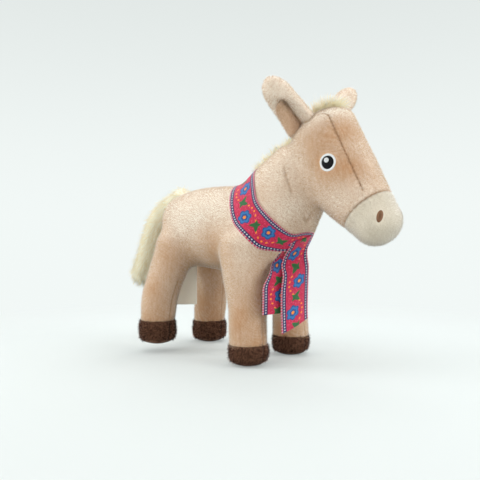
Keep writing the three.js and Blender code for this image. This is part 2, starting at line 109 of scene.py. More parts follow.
class Side(Enum):
    """The animal's own left and right."""

    LEFT = 1
    RIGHT = -1

    @property
    def word(self) -> str:
        """The side's name as it stands in the names of pieces."""
        return self.name.lower()


class Limb(Enum):
    """The four legs."""

    FRONT_LEFT = "front_left"
    FRONT_RIGHT = "front_right"
    HIND_LEFT = "hind_left"
    HIND_RIGHT = "hind_right"

    @property
    def side(self) -> Side:
        """The side that the leg is on."""
        return Side.LEFT if self.value.endswith("left") else Side.RIGHT

    @property
    def is_front(self) -> bool:
        """Whether it is a front leg."""
        return self.value.startswith("front")


def mirrored(degrees: float, side: Side) -> float:
    """An angle of a form's left side, on the side that is asked for."""
    return degrees if side is Side.LEFT else 180.0 - degrees


@dataclass(frozen=True)
class Section:
    """An oval across a stuffed form."""

    centre: Vector
    width: float
    height: float


def catmull(values: Sequence[Vector], share: float) -> Vector:
    """A smooth curve through evenly spaced values.

    Args:
        values: the points that the curve passes through.
        share: how far along the curve, from 0 to 1.

    Returns:
        The point of the curve.
    """
    last = len(values) - 1
    k = min(int(share * last), last - 1)
    t = share * last - k
    start, end = values[k], values[k + 1]
    before = values[k - 1] if k else 2 * start - end
    after = values[k + 2] if k + 2 <= last else 2 * end - start
    slope_in, slope_out = (end - before) / 2, (after - start) / 2
    rise = end - start
    square = 3 * rise - 2 * slope_in - slope_out
    cube = slope_in + slope_out - 2 * rise
    return start + t * (slope_in + t * (square + t * cube))


@dataclass(frozen=True)
class Form:
    """A stuffed form lofted through oval sections, with a dome at either end."""

    along: Vector
    across: Vector
    sections: tuple[Section, ...]
    domes: tuple[float, float]
    fullness: float = 2.0

    @property
    def upward(self) -> Vector:
        """The third direction, square to the other two."""
        return self.along.cross(self.across)

    def point(self, q: float, degrees: float, grow: float = 0.0) -> Vector:
        """A point on the surface.

        Args:
            q: 0 to 1 through the sections, -1 to 0 and 1 to 2 through the domes.
            degrees: from the across direction towards the upward one.
            grow: how far outside the surface.

        Returns:
            The point, in millimetres.
        """
        inside = min(1.0, max(0.0, q))
        turn = math.radians(90.0 * (q - inside))
        centre = catmull([s.centre for s in self.sections], inside)
        half = catmull([Vector((s.width / 2, s.height / 2, 0.0)) for s in self.sections], inside)
        dome = (self.domes[0] if q < 0 else self.domes[1]) + grow
        angle = math.radians(degrees)
        rounds = (math.cos(angle), math.sin(angle))
        wide, high = (math.copysign(abs(x) ** (2 / self.fullness), x) for x in rounds)
        centre = centre + self.along * (dome * math.sin(turn))
        centre += self.across * ((half.x + grow) * math.cos(turn) * wide)
        return centre + self.upward * ((half.y + grow) * math.cos(turn) * high)

    def normal(self, q: float, degrees: float) -> Vector:
        """The outward direction at a point of the surface.

        Args:
            q: where along the form, as for point.
            degrees: where round it, as for point.

        Returns:
            The direction, of length 1.
        """
        across = self.point(q, degrees + 1) - self.point(q, degrees - 1)
        along = self.point(q + 0.01, degrees) - self.point(q - 0.01, degrees)
        return across.cross(along).normalized()

    def rings(self, sides: int, steps: int, dome_steps: int) -> list[Ring]:
        """The rings of points that a loft of the form runs through, in metres.

        Args:
            sides: points in each ring.
            steps: steps from the first section to the last.
            dome_steps: steps in each dome.

        Returns:
            The rings, from one end to the other.
        """
        inner = 0.97
        stops = [-inner + inner * k / dome_steps for k in range(dome_steps)]
        stops += [k / steps for k in range(steps + 1)]
        stops += [1 + inner * k / dome_steps for k in range(1, dome_steps + 1)]
        return [[place(self.point(q, 360 * k / sides)) for k in range(sides)] for q in stops]


@dataclass(frozen=True)
class LegSizes:
    """Where a hoof stands, and how its leg swells up to the hip."""

    x: float
    stance: float
    shin: float
    knee: float
    thigh: float
    lean: float
    inset: float
    top: float
    hoof: float


@dataclass(frozen=True)
class Anatomy:
    """The main sizes of the animal and the stuffed forms that they give."""

    back: float = 136.0
    trunk_ovals: Marks = (
        (-58.0, -5.0, 58.0, 55.0),
        (-37.0, 0.0, 65.0, 65.5),
        (-5.0, 0.0, 66.0, 68.5),
        (24.0, 0.0, 66.0, 68.5),
        (40.0, 0.0, 56.0, 58.0),
    )  # x, height over the back, width and depth
    trunk_domes: tuple[float, float] = (13.0, 13.0)
    trunk_fullness: float = 2.3
    belly_panel: float = 30.0
    front: LegSizes = LegSizes(30.5, 28.0, 29.2, 29.6, 42.0, 8.0, 7.0, 108.0, 15.5)
    hind: LegSizes = LegSizes(-62.0, 32.5, 28.0, 31.0, 36.5, -12.0, 11.0, 104.5, 19.0)
    knee_share: float = 0.4
    lean_curve: float = 1.6
    right_hind_lift: float = 7.0
    neck_lean: float = 51.0
    neck_ovals: tuple[tuple[float, float, float], ...] = (
        (-34.0, 62.0, 78.0),
        (0.0, 54.0, 67.0),
        (28.0, 46.0, 52.0),
    )  # rise, width and depth
    neck_domes: tuple[float, float] = (8.0, 14.0)
    head_lean: float = -48.6
    head_middle: Vector = Vector((83.0, 0.0, 149.4))
    head_ovals: Marks = (
        (-14.0, 6.3, 50.0, 61.0),
        (25.0, 0.6, 45.0, 51.5),
        (60.0, 0.0, 37.5, 34.6),
    )  # along the head, towards the face, width and depth
    head_domes: tuple[float, float] = (18.0, 15.0)
    head_turn: float = -2.0
    head_roll: float = 7.5
    muzzle_seam: float = 48.0
    brow_panel: float = 31.0

    @property
    def neck_axis(self) -> Vector:
        """The line of the neck, upward."""
        return leaning(self.neck_lean)

    @property
    def head_axis(self) -> Vector:
        """The line of the head from the brow to the nose, before its turn at rest."""
        return leaning(self.head_lean)

    @property
    def head_left(self) -> Vector:
        """The head's own left, before its turn at rest."""
        return Quaternion(self.head_axis, math.radians(self.head_roll)) @ LEFTWARD

    @property
    def faceward(self) -> Vector:
        """Out of the middle of the face, before its turn at rest."""
        return self.head_axis.cross(self.head_left)

    def turned(self, point: Vector) -> Vector:
        """A point of the head after the neck's twist at rest."""
        return NECK_BASE + self.twisted(point - NECK_BASE)

    def twisted(self, direction: Vector) -> Vector:
        """A direction of the head after the neck's twist at rest."""
        return Quaternion(self.neck_axis, math.radians(self.head_turn)) @ direction

    def on_head(self, down: float, rise: float) -> Vector:
        """A point on the head's middle plane: so far towards the nose and towards the face."""
        return self.turned(self.head_middle + self.head_axis * down + self.faceward * rise)

    def trunk(self) -> Form:
        """The trunk.

        Returns:
            The form.
        """
        ovals = []
        for x, rise, wide, deep in self.trunk_ovals:
            ovals.append(Section(Vector((x, 0.0, self.back + rise - deep / 2)), wide, deep))
        return Form(AHEAD, LEFTWARD, tuple(ovals), self.trunk_domes, self.trunk_fullness)

    def neck(self) -> Form:
        """The neck, from inside the trunk to the nape.

        Returns:
            The form.
        """
        ovals = []
        for rise, wide, deep in self.neck_ovals:
            ovals.append(Section(NECK_BASE + self.neck_axis * rise, wide, deep))
        return Form(self.neck_axis, LEFTWARD, tuple(ovals), self.neck_domes)

    def head(self) -> Form:
        """The head, from the skull to the muzzle.

        Returns:
            The form.
        """
        ovals = [Section(self.on_head(down, rise), wide, deep) for down, rise, wide, deep in self.head_ovals]
        axis, left = self.twisted(self.head_axis), self.twisted(self.head_left)
        return Form(axis, left, tuple(ovals), self.head_domes)

    def leg_sizes(self, limb: Limb) -> LegSizes:
        """The sizes of one leg."""
        return self.front if limb.is_front else self.hind

    def foot(self, limb: Limb) -> Vector:
        """The middle of a hoof's sole.

        Args:
            limb: which leg.

        Returns:
            The point, in millimetres.
        """
        sizes = self.leg_sizes(limb)
        lift = self.right_hind_lift if limb is Limb.HIND_RIGHT else 0.0
        return Vector((sizes.x, limb.side.value * sizes.stance, lift))

    def leg(self, limb: Limb) -> Form:
        """One leg, from inside its hoof to the hip.

        Args:
            limb: which leg.

        Returns:
            The form.
        """
        sizes, foot = self.leg_sizes(limb), self.foot(limb)
        ankle, hip = foot.z + sizes.hoof, sizes.top - sizes.thigh / 2
        ovals = []
        for share, wide in ((0.0, sizes.shin), (self.knee_share, sizes.knee), (1.0, sizes.thigh)):
            x = sizes.x - sizes.lean * share**self.lean_curve
            y = limb.side.value * (sizes.stance - sizes.inset * share**2)
            ovals.append(Section(Vector((x, y, ankle + (hip - ankle) * share)), wide, wide))
        return Form(UPWARD, AHEAD, tuple(ovals), (sizes.shin / 2, sizes.thigh / 2))


def ring_edges(bm: bmesh.types.BMesh, ring: list[bmesh.types.BMVert]) -> list[bmesh.types.BMEdge]:
    """The edges of a closed ring of vertices."""
    return [bm.edges.get(pair) for pair in zip(ring, ring[1:] + ring[:1])]


def extrude_ring(bm: bmesh.types.BMesh, ring: list[bmesh.types.BMVert]) -> list[bmesh.types.BMVert]:
    """Extrudes a closed ring of edges.

    Args:
        bm: the mesh that holds the ring.
        ring: its vertices, in order.

    Returns:
        The new ring's vertices, each beside its old one.
    """
    made = bmesh.ops.extrude_edge_only(bm, edges=ring_edges(bm, ring))["geom"]
    new = {item for item in made if isinstance(item, bmesh.types.BMVert)}
    return [next(e.other_vert(v) for e in v.link_edges if e.other_vert(v) in new) for v in ring]


def loft(bm: bmesh.types.BMesh, rings: list[Ring], hollow: bool = False) -> None:
    """Extrudes a closed shell through rings of points.

    Args:
        bm: the mesh that takes the shell.
        rings: the rings, all with as many points.
        hollow: whether the last ring joins the first one, as on a washer, where it is capped otherwise.
    """
    ring = bmesh.ops.create_circle(bm, segments=len(rings[0]), radius=1.0)["verts"]
    first = ring
    for number, points in enumerate(rings):
        if number:
            ring = extrude_ring(bm, ring)
        for vert, point in zip(ring, points):
            vert.co = point
    ends = ring_edges(bm, first) + ring_edges(bm, ring)
    if hollow:
        bmesh.ops.bridge_loops(bm, edges=ends)
    else:
        bmesh.ops.edgeloop_fill(bm, edges=ends)


def new_object(name: str, bm: bmesh.types.BMesh, smooth: bool = True) -> Piece:
    """Turns a finished bmesh into an object of the scene.

    Args:
        name: the piece's name.
        bm: the mesh, which is freed.
        smooth: whether its faces are shaded smooth.

    Returns:
        The object, at the origin.
    """
    bmesh.ops.recalc_face_normals(bm, faces=bm.faces)
    for face in bm.faces:
        face.smooth = smooth
    mesh = bpy.data.meshes.new(name)
    bm.to_mesh(mesh)
    bm.free()
    obj = bpy.data.objects.new(name, mesh)
    bpy.context.scene.collection.objects.link(obj)
    return obj


def apply_modifiers(obj: Piece) -> Piece:
    """Makes the result of an object's modifiers its own mesh.

    Args:
        obj: the object.

    Returns:
        The same object.
    """
    shown = obj.evaluated_get(bpy.context.evaluated_depsgraph_get())
    mesh = bpy.data.meshes.new_from_object(shown)
    obj.modifiers.clear()
    old, obj.data = obj.data, mesh
    bpy.data.meshes.remove(old)
    mesh.name = obj.name
    return obj


def refine(obj: Piece) -> Piece:
    """Rounds a mesh by one step of subdivision.

    Args:
        obj: the object.

    Returns:
        The same object.
    """
    finer = obj.modifiers.new("finer", "SUBSURF")
    finer.levels = finer.render_levels = 1
    return apply_modifiers(obj)


def thicken(obj: Piece, thickness: float) -> Piece:
    """Gives a sheet its thickness, half to each side.

    Args:
        obj: the sheet.
        thickness: its thickness in millimetres.

    Returns:
        The same object.
    """
    thick = obj.modifiers.new("thick", "SOLIDIFY")
    thick.thickness = thickness * MM
    thick.offset = 0.0
    return apply_modifiers(obj)


def copy_of(obj: Piece, name: str) -> Piece:
    """A copy of an object, with a mesh of its own.

    Args:
        obj: the object.
        name: the copy's name.

    Returns:
        The copy.
    """
    twin = bpy.data.objects.new(name, obj.data.copy())
    bpy.context.scene.collection.objects.link(twin)
    return twin


def read(items: bpy.types.bpy_prop_collection, name: str, wide: int, kind: type = float) -> np.ndarray:
    """One property of a mesh's items as an array.

    Args:
        items: the vertices, edges or faces.
        name: the property.
        wide: numbers in each item.
        kind: float or int.

    Returns:
        The array, one row for each item.
    """
    flat = np.zeros(len(items) * wide, np.float32 if kind is float else np.int32)
    items.foreach_get(name, flat)
    shaped = flat.reshape(-1, wide) if wide > 1 else flat
    return shaped.astype(kind)


def write_attribute(mesh: bpy.types.Mesh, name: str, kind: str, domain: str, values: np.ndarray) -> None:
    """Stores numbers on a mesh as a named attribute of that kind and domain.

    Args:
        mesh: the mesh.
        name: the attribute's name.
        kind: its type, such as FLOAT.
        domain: what it belongs to, such as POINT.
        values: the numbers, in order.
    """
    attribute = mesh.attributes.get(name) or mesh.attributes.new(name, kind, domain)
    field = "vector" if kind == "FLOAT_VECTOR" else "value"
    attribute.data.foreach_set(field, np.asarray(values, np.float32).ravel())


def groom(
    obj: Piece,
    nap: np.ndarray,
    seam: np.ndarray | float = 0.0,
    shade: np.ndarray | float = 0.55,
    bare: np.ndarray | float = 0.0,
) -> None:
    """Stores on a piece what its pile needs to know.

    Args:
        obj: the piece.
        nap: the way that the pile lies, for all points or for each.
        seam: how much of a seam each point is, from 0 to 1.
        shade: how light the pile is, from 0 to 1.
        bare: 1 for each face that bears no pile.
    """
    mesh = obj.data
    count = len(mesh.vertices)
    for name, values in (("seam", seam), ("shade", shade)):
        write_attribute(mesh, name, "FLOAT", "POINT", np.broadcast_to(values, count))
    write_attribute(mesh, "bare", "FLOAT", "FACE", np.broadcast_to(bare, len(mesh.polygons)))
    write_attribute(mesh, "nap", "FLOAT_VECTOR", "POINT", np.broadcast_to(nap, (count, 3)))


def surface_of(obj: Piece) -> BVHTree:
    """A search tree over an object's surface."""
    return BVHTree.FromObject(obj, bpy.context.evaluated_depsgraph_get())


class Skin:
    """The points of a mesh as one array, so that a whole surface is worked at once."""

    STEP = 0.5
    BACK_STEP = 0.52
    ROUNDS_TO_A_NORMAL = 5

    def __init__(self, mesh: bpy.types.Mesh) -> None:
        """Reads the mesh's points and edges.

        Args:
            mesh: the mesh.
        """
        self.mesh = mesh
        self.points = read(mesh.vertices, "co", 3)
        self.edges = read(mesh.edges, "vertices", 2, int)
        self.degree = np.bincount(self.edges.ravel(), minlength=len(self.points))[:, None]

    def pull(self) -> np.ndarray:
        """How far each point lies from the middle of its neighbours.

        Returns:
            A vector for each point.
        """
        count = len(self.points)
        a, b = self.edges.T
        sums = [np.bincount(a, line[b], count) + np.bincount(b, line[a], count) for line in self.points.T]
        return np.stack(sums, 1) / self.degree - self.points

    def normals(self) -> np.ndarray:
        """The outward direction at each point."""
        self.store()
        return read(self.mesh.vertex_normals, "vector", 3)

    def fill_creases(self, rounds: int) -> None:
        """Rounds out hollow creases, as filling and cloth do, and leaves the swells alone.

        Args:
            rounds: how many steps.
        """
        for number in range(rounds):
            if number % self.ROUNDS_TO_A_NORMAL == 0:
                normals = self.normals()
            pull = self.pull()
            outward = (pull * normals).sum(1, keepdims=True)
            self.points += self.STEP * (pull - normals * np.minimum(outward, 0.0))

    def relax(self, rounds: int) -> None:
        """Smooths the surface without shrinking it.

        Args:
            rounds: how many steps.
        """
        for _ in range(rounds):
            self.points += self.STEP * self.pull()
            self.points -= self.BACK_STEP * self.pull()

    def store(self) -> None:
        """Writes the points back to the mesh."""
        self.mesh.vertices.foreach_set("co", self.points.astype(np.float32).ravel())
        self.mesh.update()


class Nodes:
    """A node tree, with short ways to add and join nodes."""

    def __init__(self, tree: bpy.types.NodeTree) -> None:
        """Holds the tree."""
        self.tree = tree

    def add(self, kind: str, inputs: dict[str, object] | None = None, **settings: object) -> bpy.types.Node:
        """Adds a node.

        Args:
            kind: the node's type.
            inputs: values or sockets for its inputs, by name or number.
            settings: the node's own properties.

        Returns:
            The node.
        """
        node = self.tree.nodes.new(kind)
        for name, value in settings.items():
            setattr(node, name, value)
        for name, value in (inputs or {}).items():
            self.join(value, node.inputs[name])
        return node

    def join(self, value: object, socket: Socket) -> None:
        """Links a socket, or sets a plain value, at an input.

        Args:
            value: the socket or the plain value.
            socket: the input.
        """
        if isinstance(value, Socket):
            self.tree.links.new(value, socket)
        else:
            socket.default_value = value

    def math(self, operation: str, *values: object) -> Socket:
        """The result of a Math node on numbers or sockets."""
        return self.add("ShaderNodeMath", dict(enumerate(values)), operation=operation).outputs[0]

    def vector(self, operation: str, *values: object) -> Socket:
        """The result of a Vector Math node on vectors or sockets."""
        return self.add("ShaderNodeVectorMath", dict(enumerate(values)), operation=operation).outputs[0]

    def scaled(self, vector: object, by: float) -> Socket:
        """A vector times a number."""
        return self.add("ShaderNodeVectorMath", {0: vector, "Scale": by}, operation="SCALE").outputs[0]

    def stored(self, name: str, kind: str = "FLOAT") -> Socket:
        """A named attribute of that kind, in a tree for geometry."""
        return self.add("GeometryNodeInputNamedAttribute", {0: name}, data_type=kind).outputs[0]

    def chance(self, low: float, high: float, seed: int) -> Socket:
        """A random number between two limits, in a tree for geometry."""
        limits = {2: low, 3: high, "Seed": seed}
        return self.add("FunctionNodeRandomValue", limits, data_type="FLOAT").outputs[1]


class Graph(Nodes):
    """A material's node tree."""

    def __init__(self, name: str) -> None:
        """Starts an empty material of that name with a surface shader.

        Args:
            name: the material's name.
        """
        self.material = bpy.data.materials.new(name)
        self.material.use_nodes = True
        super().__init__(self.material.node_tree)
        self.shader = self.tree.nodes["Principled BSDF"]

    def mix(self, share: object, first: object, second: object, blend: str = "MIX") -> Socket:
        """A mix of two colours.

        Args:
            share: how much of the second colour, a number or socket.
            first: a colour or socket.
            second: a colour or socket.
            blend: how they mix.

        Returns:
            The mixed colour.
        """
        node = self.add("ShaderNodeMix", data_type="RGBA", blend_type=blend)
        for value, number in ((share, 0), (first, 6), (second, 7)):
            self.join((*value, 1.0) if isinstance(value, tuple) else value, node.inputs[number])
        return node.outputs[2]

    def noise(self, coordinates: object, scale: float, detail: float = 2.0) -> Socket:
        """A noise from 0 to 1 that has so many features to the metre."""
        values = {"Vector": coordinates, "Scale": scale, "Detail": detail}
        return self.add("ShaderNodeTexNoise", values).outputs[0]

    def squares(self, x: Socket, y: Socket) -> Socket:
        """The sum of the squares of two numbers."""
        return self.math("ADD", self.math("MULTIPLY", x, x), self.math("MULTIPLY", y, y))

    def own_coordinates(self, upright: float = 1.0) -> Socket:
        """The piece's own coordinates, in metres, with the height times a number.

        Args:
            upright: what the height is multiplied by.

        Returns:
            The coordinates.
        """
        at = self.add("ShaderNodeTexCoord").outputs["Object"]
        if upright == 1.0:
            return at
        return self.add("ShaderNodeMapping", {"Vector": at, "Scale": (1.0, 1.0, upright)}).outputs[0]

    def attribute(self, name: str) -> Socket:
        """A number stored on the mesh."""
        return self.add("ShaderNodeAttribute", attribute_name=name).outputs["Fac"]

    def remap(self, value: object, low: float, high: float) -> Socket:
        """A smooth step of a value, from 0 at low to 1 at high."""
        node = self.add("ShaderNodeMapRange", {0: value, 1: low, 2: high}, interpolation_type="SMOOTHSTEP")
        return node.outputs[0]

    def bump(self, height: object, distance: float, strength: float) -> None:
        """Raises the shading by a height.

        Args:
            height: the height, a number or socket.
            distance: the depth in metres.
            strength: how much of it shows, from 0 to 1.
        """
        values = {"Height": height, "Distance": distance, "Strength": strength}
        node = self.add("ShaderNodeBump", values)
        self.join(node.outputs[0], self.shader.inputs["Normal"])

    def finish(self, **values: object) -> Material:
        """Sets the surface shader's sockets.

        Args:
            values: values or sockets, with the sockets' names in lower case and underscores.

        Returns:
            The material.
        """
        names = {socket.name.lower().replace(" ", "_"): socket for socket in self.shader.inputs}
        for name, value in values.items():
            plain = isinstance(value, tuple) and names[name].type == "RGBA"
            self.join((*value, 1.0) if plain else value, names[name])
        return self.material


@dataclass(frozen=True)
class PlushFinish:
    """Cut-pile cloth: streaks and patches of lighter and darker pile, a fine grain, darker seams, and the
    stored shade, which on the coat holds painted light and shade.
    """

    name: str
    light: Colour
    dark: Colour
    seam: Colour
    sheen: float = 0.35
    glow: float = 1.0
    streak_length: float = 0.35
    streaks: float = 520.0
    grain: float = 1500.0
    mottle: float = 0.4
    seam_share: float = 0.75
    relief: float = 0.6

    def material(self) -> Material:
        """The cloth's material.

        Returns:
            The material.
        """
        graph = Graph(self.name)
        streaks = graph.noise(graph.own_coordinates(self.streak_length), self.streaks, 3.0)
        grain = graph.noise(graph.own_coordinates(), self.grain, 2.0)
        share = graph.math("MULTIPLY_ADD", graph.math("ADD", streaks, grain), self.mottle, -self.mottle)
        # The stored shade: on the coat it holds painted light and shade as well as random tone.
        share = graph.math("ADD", share, graph.attribute("shade"))
        colour = graph.mix(share, self.dark, self.light)
        stitched = graph.math("MULTIPLY", graph.attribute("seam"), self.seam_share)
        colour = graph.mix(stitched, colour, self.seam)
        graph.bump(graph.math("ADD", grain, streaks), self.relief * MM, 0.5)
        return graph.finish(
            base_color=colour,
            roughness=1.0,
            specular_ior_level=0.1,
            sheen_weight=self.sheen,
            sheen_roughness=0.4,
        )

    def fibres(self) -> list[Material]:
        """Plain materials for the fibres of the pile, from dark to light.

        Returns:
            The materials.
        """
        made = []
        for number in range(TINTS):
            pairs = zip(self.dark, self.light)
            tint = tuple(dark + (light - dark) * number / (TINTS - 1) for dark, light in pairs)
            made.append(
                Graph(f"{self.name}_fibre_{number}").finish(
                    base_color=tint,
                    roughness=0.9,
                    specular_ior_level=0.1,
                    sheen_weight=self.sheen,
                    sheen_roughness=0.3,
                    subsurface_weight=0.6,
                    subsurface_radius=(1.0, 0.75, 0.55),
                    subsurface_scale=self.glow * MM,
                )
            )
        return made


@dataclass(frozen=True)
class StrandFinish:
    """Stitches, tape or stuffing: a fine noise that both tints and raises the surface."""

    name: str
    colour: Colour
    shade: Colour
    roughness: float = 0.45
    specular: float = 0.15
    sheen: float = 0.0
    upright: float = 0.15
    strands: float = 2600.0
    detail: float = 2.0
    depth: float = 0.2
    relief: float = 0.5

    def material(self) -> Material:
        """The finish's material.

        Returns:
            The material.
        """
        graph = Graph(self.name)
        strands = graph.noise(graph.own_coordinates(self.upright), self.strands, self.detail)
        graph.bump(strands, self.depth * MM, self.relief)
        return graph.finish(
            base_color=graph.mix(strands, self.shade, self.colour),
            roughness=self.roughness,
            specular_ior_level=self.specular,
            sheen_weight=self.sheen,
        )


@dataclass(frozen=True)
class RibbonFinish:
    """A figured woven ribbon: rosettes and leaf pairs in two staggered rows between chequered borders.

    The map's first number runs along the ribbon and its second across it, both in ribbon widths.
    """

    name: str = "figured_ribbon"
    width: float = 25.0
    repeat: float = 48.0
    row: float = 2.6
    rosette: float = 6.0
    petals: float = 6.0
    leaf_length: float = 5.0
    leaf_width: float = 1.7
    leaf_tilt: float = 0.75
    leaf_start: float = 1.0
    leaf_offset: float = 0.2
    dot_pitch: float = 3.75
    dot: float = 0.8
    dot_swing: float = 2.4
    tick: float = 1.1
    tick_length: float = 1.3
    tick_strength: float = 0.55
    stripe_inset: float = 2.6
    stripe: float = 1.4
    lozenge: float = 0.65
    threads: float = 14.0
    flecks: float = 1300.0
    ground: Colour = (0.48, 0.01, 0.055)
    ground_light: Colour = (0.7, 0.07, 0.17)
    petal: Colour = (0.012, 0.06, 0.22)
    petal_light: Colour = (0.025, 0.15, 0.4)
    leaf: Colour = (0.022, 0.12, 0.035)
    seed: Colour = (0.85, 0.25, 0.03)
    navy: Colour = (0.015, 0.02, 0.09)
    white: Colour = (0.64, 0.64, 0.68)

    def material(self) -> Material:
        """The ribbon's material.

        Returns:
            The material.
        """
        graph = Graph(self.name)
        calc = graph.math
        chart = graph.add("ShaderNodeUVMap", uv_map="ribbon").outputs[0]
        split = graph.add("ShaderNodeSeparateXYZ", {0: chart})
        along = calc("MULTIPLY", split.outputs[0], self.width)
        across = calc("MULTIPLY", calc("SUBTRACT", split.outputs[1], 0.5), self.width)
        flecks = graph.noise(graph.own_coordinates(), self.flecks, 1.0)
        colour = graph.mix(graph.remap(flecks, 0.5, 0.75), self.ground, self.ground_light)
        colour = self.dots(graph, colour, along, across)
        for start, side in ((0.25, 1.0), (0.75, -1.0)):
            colour = self.leaf_pair(graph, colour, along, across, start + 0.25, side)
            colour = self.flower(graph, colour, along, across, start, side)
        colour = self.border(graph, colour, along, across)
        waves = (calc("SINE", calc("MULTIPLY", way, self.threads)) for way in (along, across))
        graph.bump(calc("MULTIPLY", *waves), 0.1 * MM, 0.35)
        return graph.finish(base_color=colour, roughness=0.6, specular_ior_level=0.3, sheen_weight=0.15)

    def local(self, graph: Graph, along: Socket, start: float) -> Socket:
        """Distance along the ribbon from the nearest motif that starts at this share of the repeat."""
        shifted = graph.math("SUBTRACT", along, start * self.repeat)
        return graph.math("WRAP", shifted, self.repeat / 2, -self.repeat / 2)

    def flower(
        self, graph: Graph, colour: Socket, along: Socket, across: Socket, start: float, side: float
    ) -> Socket:
        """Lays a row of petalled rosettes over a colour.

        Args:
            graph: the material.
            colour: what lies below.
            along: millimetres along the ribbon.
            across: millimetres from its middle.
            start: where in the repeat, as a share.
            side: which of the two rows.

        Returns:
            The new colour.
        """
        calc = graph.math
        x = self.local(graph, along, start)
        y = calc("SUBTRACT", across, side * self.row)
        radius = calc("SQRT", graph.squares(x, y))
        turn = calc("MULTIPLY", calc("ARCTAN2", y, x), self.petals / 2)
        scallop = calc("MULTIPLY_ADD", calc("ABSOLUTE", calc("COSINE", turn)), 0.25, 0.75)
        share = calc("DIVIDE", calc("DIVIDE", radius, scallop), self.rosette)
        rounds = ((1.0, self.petal), (0.82, self.petal_light), (0.5, self.petal), (0.24, self.seed))
        for reach, tint in rounds:
            colour = graph.mix(calc("LESS_THAN", share, reach), colour, tint)
        return colour

    def leaf_pair(
        self, graph: Graph, colour: Socket, along: Socket, across: Socket, start: float, side: float
    ) -> Socket:
        """Lays pairs of leaves over a colour.

        Args:
            graph: the material.
            colour: what lies below.
            along: millimetres along the ribbon.
            across: millimetres from its middle.
            start: where in the repeat, as a share.
            side: which of the two rows.

        Returns:
            The new colour.
        """
        calc = graph.math
        x = self.local(graph, along, start)
        y = calc("ADD", across, side * self.row * self.leaf_offset)
        for tilt in (-self.leaf_tilt, self.leaf_tilt):
            c, s = math.cos(tilt), math.sin(tilt)
            on = calc("ADD", calc("MULTIPLY", x, s), calc("MULTIPLY", y, c * side))
            on = calc("DIVIDE", calc("SUBTRACT", on, self.leaf_start), self.leaf_length)
            off = calc("SUBTRACT", calc("MULTIPLY", x, c), calc("MULTIPLY", y, s * side))
            room = calc("MULTIPLY", calc("SUBTRACT", 1.0, calc("MULTIPLY", on, on)), self.leaf_width)
            colour = graph.mix(calc("LESS_THAN", calc("ABSOLUTE", off), room), colour, self.leaf)
        return colour

    def dots(self, graph: Graph, colour: Socket, along: Socket, across: Socket) -> Socket:
        """Lays a waving line of seeds over a colour.

        Args:
            graph: the material.
            colour: what lies below.
            along: millimetres along the ribbon.
            across: millimetres from its middle.

        Returns:
            The new colour.
        """
        calc = graph.math
        wave = calc("SINE", calc("MULTIPLY", along, 2 * math.pi / self.repeat))
        y = calc("ADD", across, calc("MULTIPLY", wave, self.row * self.dot_swing))
        x = calc("WRAP", along, self.dot_pitch / 2, -self.dot_pitch / 2)
        return graph.mix(calc("LESS_THAN", graph.squares(x, y), self.dot**2), colour, self.seed)

    def border(self, graph: Graph, colour: Socket, along: Socket, across: Socket) -> Socket:
        """Lays the two borders over a colour.

        Args:
            graph: the material.
            colour: what lies below.
            along: millimetres along the ribbon.
            across: millimetres from its middle.

        Returns:
            The new colour.
        """
        calc = graph.math
        edge = calc("SUBTRACT", self.width / 2, calc("ABSOLUTE", across))
        step = calc("WRAP", along, self.tick, -self.tick)
        ticks = calc("MULTIPLY", calc("LESS_THAN", edge, self.tick_length), calc("GREATER_THAN", step, 0.0))
        colour = graph.mix(calc("MULTIPLY", ticks, self.tick_strength), colour, self.white)
        middle = calc("ABSOLUTE", calc("SUBTRACT", edge, self.stripe_inset))
        colour = graph.mix(calc("LESS_THAN", middle, self.stripe), colour, self.navy)
        lozenge = calc("ADD", calc("ABSOLUTE", step), middle)
        return graph.mix(calc("LESS_THAN", lozenge, self.lozenge), colour, self.white)


FAWN = PlushFinish("fawn_plush", (0.97, 0.88, 0.765), (0.55, 0.295, 0.15), (0.25, 0.13, 0.07), 1.0)
CREAM = PlushFinish("cream_plush", (0.83, 0.76, 0.64), (0.58, 0.48, 0.36), (0.42, 0.33, 0.24), 0.9)
BROWN = PlushFinish("brown_plush", (0.34, 0.165, 0.1), (0.014, 0.006, 0.004), (0.01, 0.006, 0.004), 0.2)
# Ear lining plush: redder than the coat, partly its own colour and partly painted shade of the ear's slit.
LINING = PlushFinish("ear_lining_plush", (0.97, 0.76, 0.58), (0.56, 0.29, 0.15), (0.25, 0.15, 0.1), 0.6)
STRAW = PlushFinish("straw_fur", (1.0, 0.95, 0.76), (0.92, 0.74, 0.4), (0.5, 0.38, 0.2), 1.0)
WHITE_THREAD = StrandFinish("white_thread", (0.84, 0.85, 0.86), (0.62, 0.65, 0.68))
BLACK_THREAD = StrandFinish("black_thread", (0.005, 0.006, 0.008), (0.002, 0.002, 0.003), 0.6)
BROWN_THREAD = StrandFinish("russet_thread", (0.3, 0.16, 0.09), (0.16, 0.075, 0.04))
TAPE = StrandFinish(
    "label_tape",
    (0.95, 0.92, 0.82),
    (0.84, 0.8, 0.68),
    roughness=0.5,
    specular=0.4,
    sheen=0.15,
    upright=6.0,
    strands=900.0,
    depth=0.1,
    relief=0.4,
)
STUFFING = StrandFinish(
    "stuffing_fibre",
    (0.86, 0.86, 0.83),
    (0.68, 0.68, 0.65),
    roughness=1.0,
    specular=0.5,
    sheen=0.3,
    upright=1.0,
    strands=260.0,
    detail=5.0,
    depth=2.0,
    relief=0.8,
)
RIBBON = RibbonFinish()


def dress(obj: Piece, material: Material) -> Piece:
    """Gives a piece its material.

    Args:
        obj: the piece.
        material: its material.

    Returns:
        The piece.
    """
    obj.data.materials.clear()
    obj.data.materials.append(material)
    return obj


